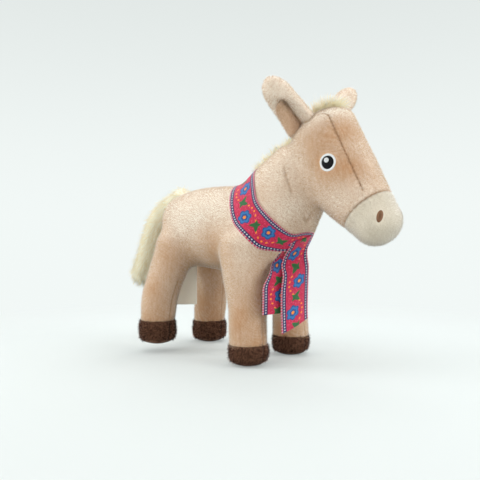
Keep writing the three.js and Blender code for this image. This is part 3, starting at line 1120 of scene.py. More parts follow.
@dataclass(frozen=True)
class Pile:
    """Fibres that stand on cloth. Lengths in millimetres, density in fibres to the square millimetre."""

    length: float
    radius: float
    density: float
    lean: float
    scatter: float
    bend: float = 0.0
    steps: int = 1
    sides: int = 3
    seed: int = 1
    tuft: float = 1.1
    tufted: float = 1.0
    grain: float = 3.2
    gloss: float = 0.5
    taper: float = 0.92
    droop: float = 0.3
    tip: float = 0.3
    sizes: tuple[float, float] = (0.55, 1.05)
    tint_spread: float = 0.2
    quick_share: float = 0.25

    def fibre(self) -> Piece:
        """One fibre, standing at the origin and bent over along +X.

        Returns:
            The fibre.
        """
        bm = bmesh.new()
        rings = []
        for k in range(self.steps + 1):
            share = k / self.steps
            rise = share - self.bend * self.droop * share**2
            middle = Vector((self.bend * share**2, 0.0, rise)) * self.length
            thick = self.radius * (1.0 - self.taper * share**1.5)
            spokes = (2 * math.pi * n / self.sides for n in range(self.sides))
            rings.append([(middle + Vector((math.cos(a), math.sin(a), 0.0)) * thick) * MM for a in spokes])
        loft(bm, rings)
        bmesh.ops.remove_doubles(bm, verts=bm.verts, dist=self.radius * self.tip * MM)
        return new_object("fibre", bm)

    def grow(self, ground: Piece, name: str, finish: PlushFinish, slot: str) -> Piece:
        """Grows fibres on a piece, along its nap and not on its bare faces.

        Args:
            ground: the piece, whose mesh holds a nap for each point and says which faces are bare.
            name: the name of the new piece.
            finish: what gives the fibres their tints.
            slot: not used.

        Returns:
            The fibres as one piece.
        """
        fibre = self.fibre()
        obj = copy_of(ground, name)
        obj.modifiers.new("pile", "NODES").node_group = self.nodes(fibre)
        apply_modifiers(obj)
        bpy.data.objects.remove(fibre)
        obj.data.materials.clear()
        for material in finish.fibres():
            obj.data.materials.append(material)
        return obj

    def nodes(self, fibre: Piece) -> bpy.types.NodeTree:
        """The nodes that scatter copies of a fibre.

        Args:
            fibre: the fibre.

        Returns:
            The node tree.
        """
        tree = bpy.data.node_groups.new("pile", "GeometryNodeTree")
        for way in ("INPUT", "OUTPUT"):
            tree.interface.new_socket("Geometry", in_out=way, socket_type="NodeSocketGeometry")
        net = Nodes(tree)
        source = net.add("NodeGroupInput").outputs[0]
        nap = net.stored("nap", "FLOAT_VECTOR")
        thick = self.density / MM**2 * 1.0
        density = net.math("MULTIPLY_ADD", net.stored("bare"), -thick, thick)
        values = {"Mesh": source, "Density": density, "Seed": self.seed}
        points = net.add("GeometryNodeDistributePointsOnFaces", values).outputs
        values = {"Min": (-1.0, -1.0, -1.0), "Max": (1.0, 1.0, 1.0), "Seed": self.seed}
        spread = net.add("FunctionNodeRandomValue", values, data_type="FLOAT_VECTOR").outputs[0]
        lean = net.vector("ADD", net.scaled(nap, self.lean), points["Normal"])
        lean = net.vector("ADD", lean, net.scaled(spread, self.scatter))
        turn = net.add("FunctionNodeAlignRotationToVector", {"Vector": lean}, axis="Z").outputs[0]
        values = {"Rotation": turn, "Vector": nap}
        turn = net.add("FunctionNodeAlignRotationToVector", values, axis="X", pivot_axis="Z").outputs[0]
        tuft = net.add("ShaderNodeTexNoise", {"Scale": 1 / (self.tuft * MM), "Detail": 1.0}).outputs[0]
        tuft = net.math("SUBTRACT", tuft, 0.5)
        values = {
            "Points": points["Points"],
            "Instance": net.add("GeometryNodeObjectInfo", {"Object": fibre}).outputs["Geometry"],
            "Rotation": turn,
            "Scale": net.math("MULTIPLY_ADD", tuft, self.tufted, net.chance(*self.sizes, self.seed + 1)),
        }
        copies = net.add("GeometryNodeInstanceOnPoints", values).outputs[0]
        tint = net.chance(-self.tint_spread, self.tint_spread, self.seed + 2)
        # The stored shade picks the fibre's tint; on the coat it holds painted light and shade.
        tint = net.math("ADD", net.stored("shade"), tint)
        tint = net.math("MULTIPLY", net.math("MULTIPLY_ADD", tuft, self.grain, tint), TINTS)
        tint = net.add("ShaderNodeClamp", {"Value": tint, "Min": 0.0, "Max": TINTS - 0.5}).outputs[0]
        for name, kind, value in (("tint", "INT", tint), ("ground", "FLOAT_VECTOR", points["Normal"])):
            values = {"Geometry": copies, "Name": name, "Value": value}
            node = net.add("GeometryNodeStoreNamedAttribute", values, data_type=kind, domain="INSTANCE")
            copies = node.outputs[0]
        whole = net.add("GeometryNodeRealizeInstances", {0: copies}).outputs[0]
        values = {"Geometry": whole, "Material Index": net.stored("tint", "INT")}
        painted = net.add("GeometryNodeSetMaterialIndex", values).outputs[0]
        own = net.add("GeometryNodeInputNormal").outputs[0]
        soft = net.vector("MULTIPLY_ADD", own, (self.gloss,) * 3, net.stored("ground", "FLOAT_VECTOR"))
        values = {"Mesh": painted, "Custom Normal": soft}
        lit = net.add("GeometryNodeSetMeshNormal", values, mode="TANGENT_SPACE").outputs[0]
        net.add("NodeGroupOutput", {0: lit})
        return tree


PLUSH_PILE = Pile(length=1.6, radius=0.11, density=3.2, lean=0.5, scatter=0.5)
HOOF_PILE = Pile(
    length=2.4, radius=0.17, density=2.4, lean=0.3, scatter=1.0, seed=5, tuft=1.3, tufted=1.8, grain=4.0
)
TAIL_FUR = Pile(
    length=6.5,
    radius=0.15,
    density=0.9,
    lean=0.8,
    scatter=0.9,
    bend=0.4,
    steps=4,
    seed=9,
    tuft=4.0,
    grain=0.8,
)
MANE_FUR = replace(
    TAIL_FUR, length=8.0, radius=0.2, density=2.2, lean=0.7, scatter=0.6, bend=0.5, seed=13, grain=1.2
)
FORELOCK_FUR = replace(
    TAIL_FUR, length=10.0, radius=0.18, density=1.6, lean=0.5, bend=0.35, seed=17, grain=1.0
)


@dataclass(frozen=True)
class SeamLine:
    """A line of stitching, or a crease, that draws the cloth in; on a crease its dark mark is painted shade.
    """

    path: tuple[Vector, ...]
    depth: float = 0.9
    width: float = 1.1
    pucker: float = 0.3
    pitch: float = 4.0
    mark: float = 1.0
    reach: float = 5.0
    fade: float = 6.0
    faintest: float = 0.15
    pucker_width: float = 3.2
    thread: float = 0.55


class Plane:
    """A cutting plane: what its normal points to is kept."""

    def __init__(self, on: Vector, normal: Vector) -> None:
        """Holds a point of the plane, in metres, and its normal."""
        self.on = on
        self.normal = normal.normalized()

    def other_side(self) -> "Plane":
        """The plane that keeps the other half."""
        return Plane(self.on, -self.normal)


def cut_piece(
    stock: Piece, name: str, planes: Sequence[Plane], near: Callable[[Vector], bool] | None = None
) -> Piece:
    """Cuts a closed piece from a closed stock and caps the cuts.

    Args:
        stock: what it is cut from, which is left as it is.
        name: the new piece's name.
        planes: the cuts.
        near: says which points belong to the piece, where the cuts leave several.

    Returns:
        The new piece.
    """
    bm = bmesh.new()
    bm.from_mesh(stock.data)
    bare = bm.faces.layers.float.get("bare") or bm.faces.layers.float.new("bare")
    for plane in planes:
        geometry = [*bm.verts, *bm.edges, *bm.faces]
        cut = bmesh.ops.bisect_plane(
            bm, geom=geometry, plane_co=plane.on, plane_no=plane.normal, clear_inner=True
        )["geom_cut"]
        edges = [item for item in cut if isinstance(item, bmesh.types.BMEdge)]
        for face in bmesh.ops.edgeloop_fill(bm, edges=edges)["faces"]:
            face[bare] = 1.0
        for edge in edges:
            edge.smooth = False
    if near:
        strangers = [vert for vert in bm.verts if not near(vert.co)]
        bmesh.ops.delete(bm, geom=strangers, context="VERTS")
    bmesh.ops.triangulate(bm, faces=[face for face in bm.faces if len(face.verts) > 4])
    return new_object(name, bm)


@dataclass
class Coat:
    """The plush skin of the body, head and legs, made in one and then cut at the joints, and its stuffing."""

    anatomy: Anatomy
    voxel: float = 1.7
    crease_rounds: int = 100
    relax_rounds: int = 6
    core_rounds: int = 4
    pile_room: float = 0.7
    lump: float = 0.7
    lump_size: float = 24.0
    swirl: float = 16.0
    swept: float = 0.6
    nap: tuple[float, float, float] = (-0.3, 0.0, -0.5)
    tone: float = 0.57
    patch: float = 22.0
    patch_depth: float = 0.3
    # Painted light and shade: pile that faces upward or lies higher up is paler, and pile lower down is
    # darker.
    topside: float = 0.22
    fading: float = 0.0065
    fade_middle: float = 95.0
    paler_below: float = 118.0
    row: float = 2.3
    row_line: tuple[float, float, float] = (0.62, 0.2, 0.75)
    row_sway: float = 3.0
    row_depth: float = 0.09
    seam_shade: float = 0.5
    face_marks: Marks = (
        (0.45, 38.0, 20.0, -0.4),
        (0.12, 62.0, 16.0, -0.4),
        (0.3, 10.0, 26.0, -0.25),
        (-0.35, 70.0, 14.0, 0.3),
    )  # place along the head, degrees round it, reach and strength
    # Painted light on the upper flank, and painted shade on the lower flank and the lower rump.
    flank_marks: Marks = (
        (0.35, 25.0, 30.0, 0.38),
        (0.55, -35.0, 18.0, -0.5),
        (0.0, -25.0, 22.0, -0.4),
    )  # the same on the trunk
    skin: float = 2.6
    neck_cut: float = -8.0
    neck_still: float = 6.0
    neck_twist: float = 26.0
    leg_cut: float = 66.0
    leg_bend: float = 24.0
    ankle_tuck: float = 2.5
    stock: Piece = field(init=False)
    core: Piece = field(init=False)
    surface: BVHTree = field(init=False)

    def build(self) -> None:
        """Makes the stock that all pieces are cut from."""
        self.stock = self.sewn_up()
        self.core = self.stuffed()
        self.detail()
        self.surface = surface_of(self.stock)

    def sewn_up(self) -> Piece:
        """All forms joined in one smooth skin.

        Returns:
            The skin.
        """
        bm = bmesh.new()
        forms = [self.anatomy.trunk(), self.anatomy.neck(), self.anatomy.head()]
        forms += [self.anatomy.leg(limb) for limb in Limb]
        for form in forms:
            loft(bm, form.rings(sides=64, steps=18, dome_steps=8))
        obj = new_object("coat_stock", bm)
        remesh = obj.modifiers.new("join", "REMESH")
        remesh.mode = "VOXEL"
        remesh.voxel_size = self.voxel * MM
        apply_modifiers(obj)
        skin = Skin(obj.data)
        skin.fill_creases(self.crease_rounds)
        skin.relax(self.relax_rounds)
        skin.points -= skin.normals() * self.pile_room * MM
        skin.store()
        return obj

    def stuffed(self) -> Piece:
        """The core of fibre filling inside the skin.

        Returns:
            The core.
        """
        obj = copy_of(self.stock, "core_stock")
        skin = Skin(obj.data)
        skin.points -= skin.normals() * self.skin * MM
        skin.relax(self.core_rounds)
        skin.store()
        return obj

    def detail(self) -> None:
        """Works seams, puckers and lumps of stuffing into the stock, and stores its seams and nap."""
        refine(self.stock)
        tree = surface_of(self.stock)
        skin = Skin(self.stock.data)
        normals = skin.normals()
        height = np.array([noise.noise(Vector(p) / (self.lump_size * MM)) for p in skin.points]) * self.lump
        mark = np.zeros(len(skin.points))
        for seam in self.seams():
            self.draw_in(seam, tree, skin.points, height, mark)
        skin.points += normals * (height * MM)[:, None]
        skin.store()
        swirl = np.array([noise.noise_vector(Vector(p) / (self.swirl * MM)) for p in skin.points])
        nap = np.array(self.nap) + swirl * self.swept
        groom(self.stock, nap, mark, self.shades(skin.points, normals, swirl) - self.seam_shade * mark)

    def shades(self, points: np.ndarray, normals: np.ndarray, swirl: np.ndarray) -> np.ndarray:
        """How light the pile is: in random patches and faint combed rows, with painted light above, painted
        shade below, and darker and paler marks on the face.

        Args:
            points: the skin's points.
            normals: their outward directions.
            swirl: how the pile is swept at each point.

        Returns:
            A number for each point, 0 for the darkest pile and 1 for the palest.
        """
        patches = np.array([noise.noise(Vector(p) / (self.patch * MM)) for p in points])
        # Random patches, and painted light that makes pile facing upward paler.
        shade = self.tone + self.patch_depth * patches + self.topside * normals[:, 2]
        # Painted light and shade: paler with height up to a limit, darker towards the legs.
        shade += self.fading * (np.minimum(points[:, 2] / MM, self.paler_below) - self.fade_middle)
        rows = points @ np.array(self.row_line) / (self.row * MM) + self.row_sway * swirl[:, 0]
        shade += self.row_depth * np.sin(2 * np.pi * rows) * np.clip(0.5 + swirl[:, 1], 0.0, 1.0)
        # Darker and paler marks on the face; on the trunk, painted light and painted shade.
        for form, marks in ((self.anatomy.head(), self.face_marks), (self.anatomy.trunk(), self.flank_marks)):
            for q, degrees, reach, depth in marks:
                for side in Side:
                    middle = np.array(place(form.point(q, mirrored(degrees, side))))
                    far = np.linalg.norm(points - middle, axis=1) / (reach * MM)
                    shade += depth * np.exp(-(far**2))
        return shade

    def draw_in(
        self, seam: SeamLine, tree: BVHTree, points: np.ndarray, height: np.ndarray, mark: np.ndarray
    ) -> None:
        """Presses one seam into the skin.

        Args:
            seam: the stitching.
            tree: the skin's surface, which the stitching follows.
            points: the skin's points.
            height: how far each point is raised, which is changed.
            mark: how much each point is darkened, which is changed.
        """
        dense = []
        for start, end in zip(seam.path, seam.path[1:]):
            steps = max(1, round((end - start).length / MM))
            dense += [tree.find_nearest(start.lerp(end, k / steps))[0] for k in range(steps)]
        path = np.array(dense)
        reach = seam.reach * MM
        near = np.flatnonzero(((points > path.min(0) - reach) & (points < path.max(0) + reach)).all(1))
        gaps = np.linalg.norm(points[near, None] - path[None], axis=2)
        distance, step = gaps.min(1) / MM, gaps.argmin(1)
        ends = np.clip(np.minimum(step, len(path) - 1 - step) / seam.fade, seam.faintest, 1.0)
        groove = np.exp(-((distance / seam.width) ** 2)) * ends
        pull = np.exp(-((distance / seam.pucker_width) ** 2)) * np.cos(2 * np.pi * step / seam.pitch) * ends
        height[near] -= seam.depth * groove + seam.pucker * pull
        line = np.exp(-((distance / (seam.thread * seam.width)) ** 2)) * ends * seam.mark
        mark[near] = np.maximum(mark[near], line)

    def seams(self) -> list[SeamLine]:
        """The seams and creases of the coat, in metres.

        Returns:
            The seams.
        """
        anatomy = self.anatomy
        trunk, neck, head = anatomy.trunk(), anatomy.neck(), anatomy.head()

        def line(form: Form, stops: Sequence[tuple[float, float]], **look: float) -> SeamLine:
            """A seam through (q, degrees) stops of a form."""
            return SeamLine(tuple(place(form.point(q, degrees)) for q, degrees in stops), **look)

        def strip(form: Form, half: float, q: float, rising: bool) -> float:
            """The degrees at which a form's surface lies so far across, on its upper or lower half.

            Args:
                form: the form.
                half: how far across, in millimetres.
                q: where along the form.
                rising: whether it is the upper half.

            Returns:
                The angle on the left side.
            """
            width = (form.point(q, 0) - form.point(q, 180)).length / 2
            degrees = math.degrees(math.acos(min(1.0, (half / width) ** (form.fullness / 2))))
            return degrees if rising else -degrees

        made = [
            line(trunk, [(q / 10, 90) for q in range(-8, 9)], depth=0.5, mark=0.35),
            line(head, [(q / 10, -90) for q in range(0, 9)], depth=0.6, mark=0.5),
            line(head, [(self.seam_q(), a) for a in range(0, 361, 12)], depth=1.1, pucker=0.35, mark=0.9),
        ]
        for side in Side:
            brow = [q / 20 for q in range(-11, 17)]
            stops = [(q, mirrored(strip(head, anatomy.brow_panel / 2, q, True), side)) for q in brow]
            made.append(line(head, stops, depth=1.0, width=0.65, pucker=0.3, pitch=3.0, mark=1.0))
            belly = [q / 10 for q in range(-3, 11)]
            stops = [(q, mirrored(strip(trunk, anatomy.belly_panel / 2, q, False), side)) for q in belly]
            made.append(line(trunk, stops, depth=0.8, mark=0.7))
            dart = [(1.0, 9), (0.92, 353), (0.83, 337), (0.75, 324)]
            made.append(line(neck, [(q, mirrored(a, side)) for q, a in dart], depth=0.9, width=1.4, mark=0.3))
            # Two creases on the neck, drawn in as a real groove; their dark mark is painted shade in the
            # crease.
            for crease in ([(0.62, 300), (0.56, 288), (0.5, 282)], [(0.68, 285), (0.58, 285), (0.5, 287)]):
                stops = [(q, mirrored(a, side)) for q, a in crease]
                made.append(line(neck, stops, depth=0.9, width=1.8, pucker=0.0, mark=0.35))
        for limb in Limb:
            for degrees in (0, 180):
                stops = [(q / 10, degrees) for q in range(-1, 8)]
                made.append(line(anatomy.leg(limb), stops, depth=0.6, pucker=0.2, mark=0.6))
        return made

    def seam_q(self) -> float:
        """Where along the head's form the seam of the muzzle lies."""
        ends = [down for down, _, _, _ in self.anatomy.head_ovals]
        return 0.5 + 0.5 * (self.anatomy.muzzle_seam - ends[1]) / (ends[2] - ends[1])

    def muzzle_plane(self) -> Plane:
        """The cut at the muzzle's seam, which keeps the muzzle."""
        return Plane(place(self.anatomy.on_head(self.anatomy.muzzle_seam, 0.0)), self.anatomy.head().along)

    def neck_plane(self) -> Plane:
        """The cut under the scarf, which keeps the head."""
        return Plane(place(NECK_BASE + self.anatomy.neck_axis * self.neck_cut), self.anatomy.neck_axis)

    def leg_plane(self) -> Plane:
        """The cut below the belly, which keeps the legs."""
        return Plane(place(Vector((0.0, 0.0, self.leg_cut))), -UPWARD)

    def ankle_plane(self, limb: Limb) -> Plane:
        """The cut inside a hoof, which keeps the leg."""
        height = self.anatomy.foot(limb).z + self.anatomy.leg_sizes(limb).hoof - self.ankle_tuck
        return Plane(place(Vector((0.0, 0.0, height))), UPWARD)

    def cover(self, covers: Sequence[Piece], reach: float) -> None:
        """Marks as bare what lies under other pieces, so that no pile stands there.

        Args:
            covers: the pieces that lie on the coat.
            reach: how near they lie, in millimetres.
        """
        mesh = self.stock.data
        middles = read(mesh.polygons, "center", 3)
        bare = np.zeros(len(middles))
        for obj in covers:
            tree = surface_of(obj)
            corners = read(obj.data.vertices, "co", 3)
            low, high = corners.min(0) - reach * MM, corners.max(0) + reach * MM
            for number in np.flatnonzero(((middles > low) & (middles < high)).all(1)):
                if tree.find_nearest(Vector(middles[number]), reach * MM)[0] is not None:
                    bare[number] = 1.0
        write_attribute(mesh, "bare", "FLOAT", "FACE", bare)

    def dress(self) -> None:
        """Cuts the pieces, dresses them, grows their pile and hangs those of the torso and the muzzle on the
        frame.
        """
        neck, muzzle, legs = self.neck_plane(), self.muzzle_plane(), self.leg_plane()
        fawn, cream, fibre = FAWN.material(), CREAM.material(), STUFFING.material()
        torso = cut_piece(self.stock, "torso_coat", [neck.other_side(), legs.other_side()])
        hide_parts("body_side_left", "body_side_right", "belly_panel")
        dress(torso, fawn)
        head = cut_piece(self.stock, "head_coat", [neck, muzzle.other_side()])
        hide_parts("head_side_left", "head_side_right", "brow_panel")
        dress(head, fawn)
        nose = cut_piece(self.stock, "muzzle_coat", [muzzle], lambda point: point.z > self.leg_cut * MM)
        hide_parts("muzzle_cover")
        dress(nose, cream)
        torso_core = cut_piece(self.core, "torso_stuffing", [neck.other_side(), legs.other_side()])
        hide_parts("body_filling")
        head_core = cut_piece(self.core, "head_stuffing", [neck])
        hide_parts("head_filling")
        for core in (torso_core, head_core):
            dress(core, fibre)
        torso_piles = [self.half_pile(torso, "torso", side) for side in Side]
        head_piles = [self.half_pile(head, "head", side) for side in Side]
        nose_pile = PLUSH_PILE.grow(nose, "muzzle_pile", CREAM, "muzzle")
        for obj in (torso, torso_core, *torso_piles):
            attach(obj, "torso")
        for obj in (nose, nose_pile):
            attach(obj, "head")
        for obj in (head, head_core, *head_piles):
            self.twist(obj)
        for limb in Limb:
            self.dress_leg(limb, fawn, fibre)
        for obj in (self.stock, self.core):
            bpy.data.objects.remove(obj)

    def half_pile(self, whole: Piece, part: str, side: Side) -> Piece:
        """The pile of one side of a piece.

        Args:
            whole: the piece.
            part: the first word of the pile's name.
            side: which side.

        Returns:
            The fibres.
        """
        half = cut_piece(whole, f"{part}_half", [Plane(place(Vector()), LEFTWARD * side.value)])
        pile = PLUSH_PILE.grow(half, f"{part}_pile_{side.word}", FAWN, "coat")
        bpy.data.objects.remove(half)
        return pile

    def twist(self, obj: Piece) -> None:
        """Bakes a piece of the neck in place, with its transform in its mesh.

        Args:
            obj: the piece.
        """
        plane = self.neck_plane()
        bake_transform(obj)

    def dress_leg(self, limb: Limb, fawn: Material, fibre: Material) -> None:
        """Cuts and dresses one leg, and bakes its pieces in place.

        Args:
            limb: which leg.
            fawn: the coat's material.
            fibre: the stuffing's material.
        """
        foot = place(self.anatomy.foot(limb))
        planes = [self.leg_plane(), self.ankle_plane(limb)]

        def near(point: Vector) -> bool:
            """Whether a point belongs to this leg."""
            return (point.x - ORIGIN.x > 0) == limb.is_front and (point.y - ORIGIN.y) * foot.y > 0

        name = f"leg_{limb.value}"
        coat = cut_piece(self.stock, f"{name}_coat", planes, near)
        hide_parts(f"{name}_outer_panel", f"{name}_inner_panel")
        dress(coat, fawn)
        core = cut_piece(self.core, f"{name}_stuffing", planes, near)
        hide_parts(f"{name}_filling")
        dress(core, fibre)
        pile = PLUSH_PILE.grow(coat, f"{name}_pile", FAWN, "coat")
        for obj in (coat, core, pile):
            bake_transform(obj)


@dataclass
class Hooves:
    """The four brown hooves: a band round the ankle and a sole sewn into it."""

    anatomy: Anatomy
    radius: float = 14.5
    corner: float = 7.5
    clearance: float = 0.25
    rim: float = 1.2
    rim_roll: Profile = (
        (-1.9, -2.0),
        (-1.8, -0.6),
        (-1.1, 0.2),
        (-0.4, -0.1),
    )  # past the radius, and over the top
    swell: tuple[float, float] = (0.3, 0.6)  # past the radius, and where as a share of the height
    sole: float = 8.6
    sole_tuck: Profile = ((-0.1, 0.9), (-0.4, 2.2))  # past the sole's radius, and height
    sole_edge: Profile = ((-0.6, 2.0), (-0.3, 1.2), (-0.9, 0.4), (-2.0, 0.05))  # the same
    sole_core: float = 0.4
    segments: int = 72
    wobble: float = 0.7
    wobble_size: float = 8.0
    seam_pull: float = 0.7
    seam_width: float = 1.2
    seam_line: tuple[float, float] = (0.7, 0.9)  # width and strength
    sole_line: float = 0.8
    bare_below: float = 0.9
    bare_within: float = 2.0
    shade: float = 0.42

    def profile(self, height: float) -> list[tuple[float, float]]:
        """The band's outline from inside its top rim to inside its sole seam, as radius and height.

        Args:
            height: how tall the hoof is.

        Returns:
            The outline, in millimetres.
        """
        points = [(self.radius + past, height + over) for past, over in self.rim_roll]
        points += [(self.radius, height - self.rim), (self.radius + self.swell[0], height * self.swell[1])]
        for k in range(5):
            turn = math.radians(90 * k / 4)
            inward = self.corner * (1 - math.cos(turn))
            points.append((self.radius - inward, self.corner * (1 - math.sin(turn)) + self.clearance))
        return points + [(self.sole + past, up) for past, up in self.sole_tuck]

    def build(self) -> None:
        """Makes, dresses and hangs all hooves."""
        brown = BROWN.material()
        for limb in Limb:
            foot, sizes = self.anatomy.foot(limb), self.anatomy.leg_sizes(limb)
            band = self.band(limb, foot, sizes.hoof)
            sole = self.sole_disc(limb, foot)
            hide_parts(f"hoof_{limb.value}_band")
            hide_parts(f"hoof_{limb.value}_sole")
            for obj in (band, sole):
                dress(obj, brown)
            pile = HOOF_PILE.grow(band, f"hoof_{limb.value}_pile", BROWN, "hoof")
            for obj in (band, sole, pile):
                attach(obj, f"leg_{limb.value}")

    def rings(self, foot: Vector, profile: Sequence[tuple[float, float]]) -> list[Ring]:
        """Rings round a hoof through a profile, drawn in at its front and back seams, in metres.

        Args:
            foot: the middle of the sole.
            profile: radii and heights, in millimetres.

        Returns:
            A ring for each point of the profile.
        """
        made = []
        for radius, height in profile:
            ring = []
            for k in range(self.segments):
                turn = 2 * math.pi * k / self.segments
                off = abs(math.sin(turn)) * self.radius
                drawn = self.seam_pull * math.exp(-((off / self.seam_width) ** 2))
                where = Vector((math.cos(turn), math.sin(turn), height / self.wobble_size + foot.x))
                reach = radius - (drawn if radius > self.sole else 0.0) + self.wobble * noise.noise(where)
                ring.append(place(foot + Vector((math.cos(turn) * reach, math.sin(turn) * reach, height))))
            made.append(ring)
        return made

    def band(self, limb: Limb, foot: Vector, height: float) -> Piece:
        """The band of one hoof, with its seams and nap stored.

        Args:
            limb: which leg.
            foot: the middle of its sole.
            height: how tall the hoof is.

        Returns:
            The band.
        """
        bm = bmesh.new()
        loft(bm, self.rings(foot, self.profile(height)), hollow=True)
        obj = refine(new_object(f"hoof_{limb.value}_plush", bm))
        middle = np.array(place(foot))
        points = (read(obj.data.vertices, "co", 3) - middle) / MM
        reach = np.hypot(points[:, 0], points[:, 1])
        width, strength = self.seam_line
        seam = np.exp(-((points[:, 1] / width) ** 2)) * strength
        seam = np.maximum(seam, np.exp(-(((reach - self.sole) / self.sole_line) ** 2)))
        faces = (read(obj.data.polygons, "center", 3) - middle) / MM
        inside = np.hypot(faces[:, 0], faces[:, 1]) < self.radius - self.bare_within
        groom(obj, -np.array(UPWARD), seam, self.shade, (faces[:, 2] < self.bare_below) | inside)
        return obj

    def sole_disc(self, limb: Limb, foot: Vector) -> Piece:
        """The sole of one hoof, flat where it stands.

        Args:
            limb: which leg.
            foot: the middle of its sole.

        Returns:
            The sole.
        """
        bm = bmesh.new()
        core = self.sole * self.sole_core
        edge = [(self.sole + past, up) for past, up in self.sole_edge]
        loft(bm, self.rings(foot, [(core, edge[0][1]), *edge, (core, 0.0)]))
        return new_object(f"hoof_{limb.value}_sole_plush", bm)


@dataclass
class Ears:
    """Two soft rolled ears, each a plush back with a lining in its slit, sewn to the skull."""

    anatomy: Anatomy
    length: float = 42.0
    buried: float = 6.0
    half_width: float = 12.4
    half_depth: float = 8.2
    taper: float = 0.3
    tip: float = 0.3
    tip_end: float = 0.995
    shaft_steps: int = 20
    tip_steps: int = 10
    segments: int = 72
    slit: float = 0.92
    slit_top: float = 0.72
    slit_narrows: float = 0.25
    slit_open: float = 0.45
    spread: tuple[float, float] = (48.0, 20.0)
    splay: tuple[float, float] = (46.0, 42.0)  # left and right
    rake: float = 32.0
    twist: float = 86.0
    set_back: float = -0.52
    angle: tuple[float, float] = (20.0, 9.0)  # left and right
    lining: float = 0.6
    lining_rise: tuple[float, float] = (-0.06, 0.63)  # its lower end, and its length
    lining_top: float = 0.58
    lining_reach: tuple[float, float] = (4.0, 48.0)  # degrees to each side, at its top and further down
    lining_shift: float = 0.6
    lining_lift: float = 0.3
    nap: float = 0.6
    shade: float = 0.75
    # The lining's pile is darker than the back's: painted shade in the slit, over the lining's own colour.
    lining_shade: float = 0.5
    still: float = 2.0
    bend: float = 9.0

    def build(self) -> None:
        """Makes and dresses both ears, and bakes them in place."""
        fawn, inside = FAWN.material(), LINING.material()
        for side in Side:
            root, lean, _, _ = self.axes(side)
            name = f"ear_{side.word}"
            back = self.back(f"{name}_plush", side)
            lining = self.strip(f"{name}_inside", side)
            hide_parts(f"{name}_back")
            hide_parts(f"{name}_lining")
            dress(back, fawn)
            dress(lining, inside)
            pile = PLUSH_PILE.grow(back, f"{name}_pile", FAWN, "coat")
            fluff = PLUSH_PILE.grow(lining, f"{name}_inside_pile", LINING, "ear_lining")
            start, end = place(root - lean * self.still), place(root + lean * self.bend)
            for obj in (back, lining, pile, fluff):
                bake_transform(obj)
                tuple(start)
                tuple(end)

    def axes(self, side: Side) -> tuple[Vector, Vector, Vector, Vector]:
        """Where an ear is sewn on, its line, its breadth and the way that its slit faces.

        Args:
            side: which ear.

        Returns:
            A point in millimetres and three directions.
        """
        anatomy = self.anatomy
        sign = side.value
        number = 0 if side is Side.LEFT else 1
        degrees, splay = mirrored(self.angle[number], side), self.splay[number]
        splay, rake, twist = (math.radians(x) for x in (splay, self.rake, self.twist))
        lean = anatomy.faceward * (math.sin(rake) * math.cos(splay))
        lean -= anatomy.head_axis * (math.cos(rake) * math.cos(splay))
        lean += anatomy.head_left * (sign * math.sin(splay))
        opening = Vector((math.cos(twist), sign * math.sin(twist), 0.0))
        opening = (opening - lean * opening.dot(lean)).normalized()
        lean, opening = anatomy.twisted(lean), anatomy.twisted(opening)
        return anatomy.head().point(self.set_back, degrees), lean, lean.cross(opening), opening

    def at(self, side: Side, rise: float, degrees: float) -> Vector:
        """A point on an ear, in millimetres.

        Args:
            side: which ear.
            rise: how far up the ear, from 0 at the skull to 1 at the tip.
            degrees: round the ear, from the middle of its slit.

        Returns:
            The point.
        """
        root, lean, sideways, opening = self.axes(side)
        end = max(0.0, (rise - 1 + self.tip) / self.tip)
        size = (1 - self.taper * max(0.0, rise)) * math.sqrt(max(0.0, 1 - end**2))
        closing = 1 - smoothstep(self.slit_narrows, self.slit_top, rise)
        spread = self.spread[1] + (self.spread[0] - self.spread[1]) * closing
        off = (degrees + 180) % 360 - 180
        cut = self.slit * smoothstep(0.0, self.slit_open, closing)
        keep = 1 - cut * math.exp(-((off / spread) ** 2))
        turn = math.radians(degrees)
        out = 0.5 * self.half_depth * (keep - 1) + self.half_depth * math.cos(turn) * keep
        over = self.half_width * math.sin(turn) * keep
        return root + lean * (self.length * rise) + (sideways * over + opening * out) * size

    def back(self, name: str, side: Side) -> Piece:
        """The plush of one ear, closed at its tip and buried in the skull.

        Args:
            name: the piece's name.
            side: which ear.

        Returns:
            The plush.
        """
        low, high = -self.buried / self.length, 1 - self.tip
        stops = [low + (high - low) * k / self.shaft_steps for k in range(self.shaft_steps)]
        for k in range(self.tip_steps + 1):
            stops.append(high + self.tip * math.sin(math.pi / 2 * k / self.tip_steps) * self.tip_end)
        turns = [360 * k / self.segments for k in range(self.segments)]
        bm = bmesh.new()
        loft(bm, [[place(self.at(side, rise, degrees)) for degrees in turns] for rise in stops])
        obj = refine(new_object(name, bm))
        groom(obj, np.array(self.axes(side)[1]) * self.nap, shade=self.shade)
        return obj

    def strip(self, name: str, side: Side) -> Piece:
        """The lining of one ear, laid in its slit.

        Args:
            name: the piece's name.
            side: which ear.

        Returns:
            The lining.
        """
        bm = bmesh.new()
        bmesh.ops.create_grid(bm, x_segments=20, y_segments=24, size=0.5)
        opening = self.axes(side)[3]
        low, long = self.lining_rise
        least, more = self.lining_reach
        for vert in bm.verts:
            rise = low + long * (vert.co.y + 0.5)
            reach = least + more * math.sqrt(max(0.0, 1 - (rise / self.lining_top) ** 2))
            degrees = side.value * reach * (2 * vert.co.x + self.lining_shift)
            vert.co = place(self.at(side, rise, degrees) + opening * self.lining_lift)
        obj = refine(thicken(new_object(name, bm), self.lining))
        groom(obj, np.array(self.axes(side)[1]) * self.nap, shade=self.lining_shade)
        return obj


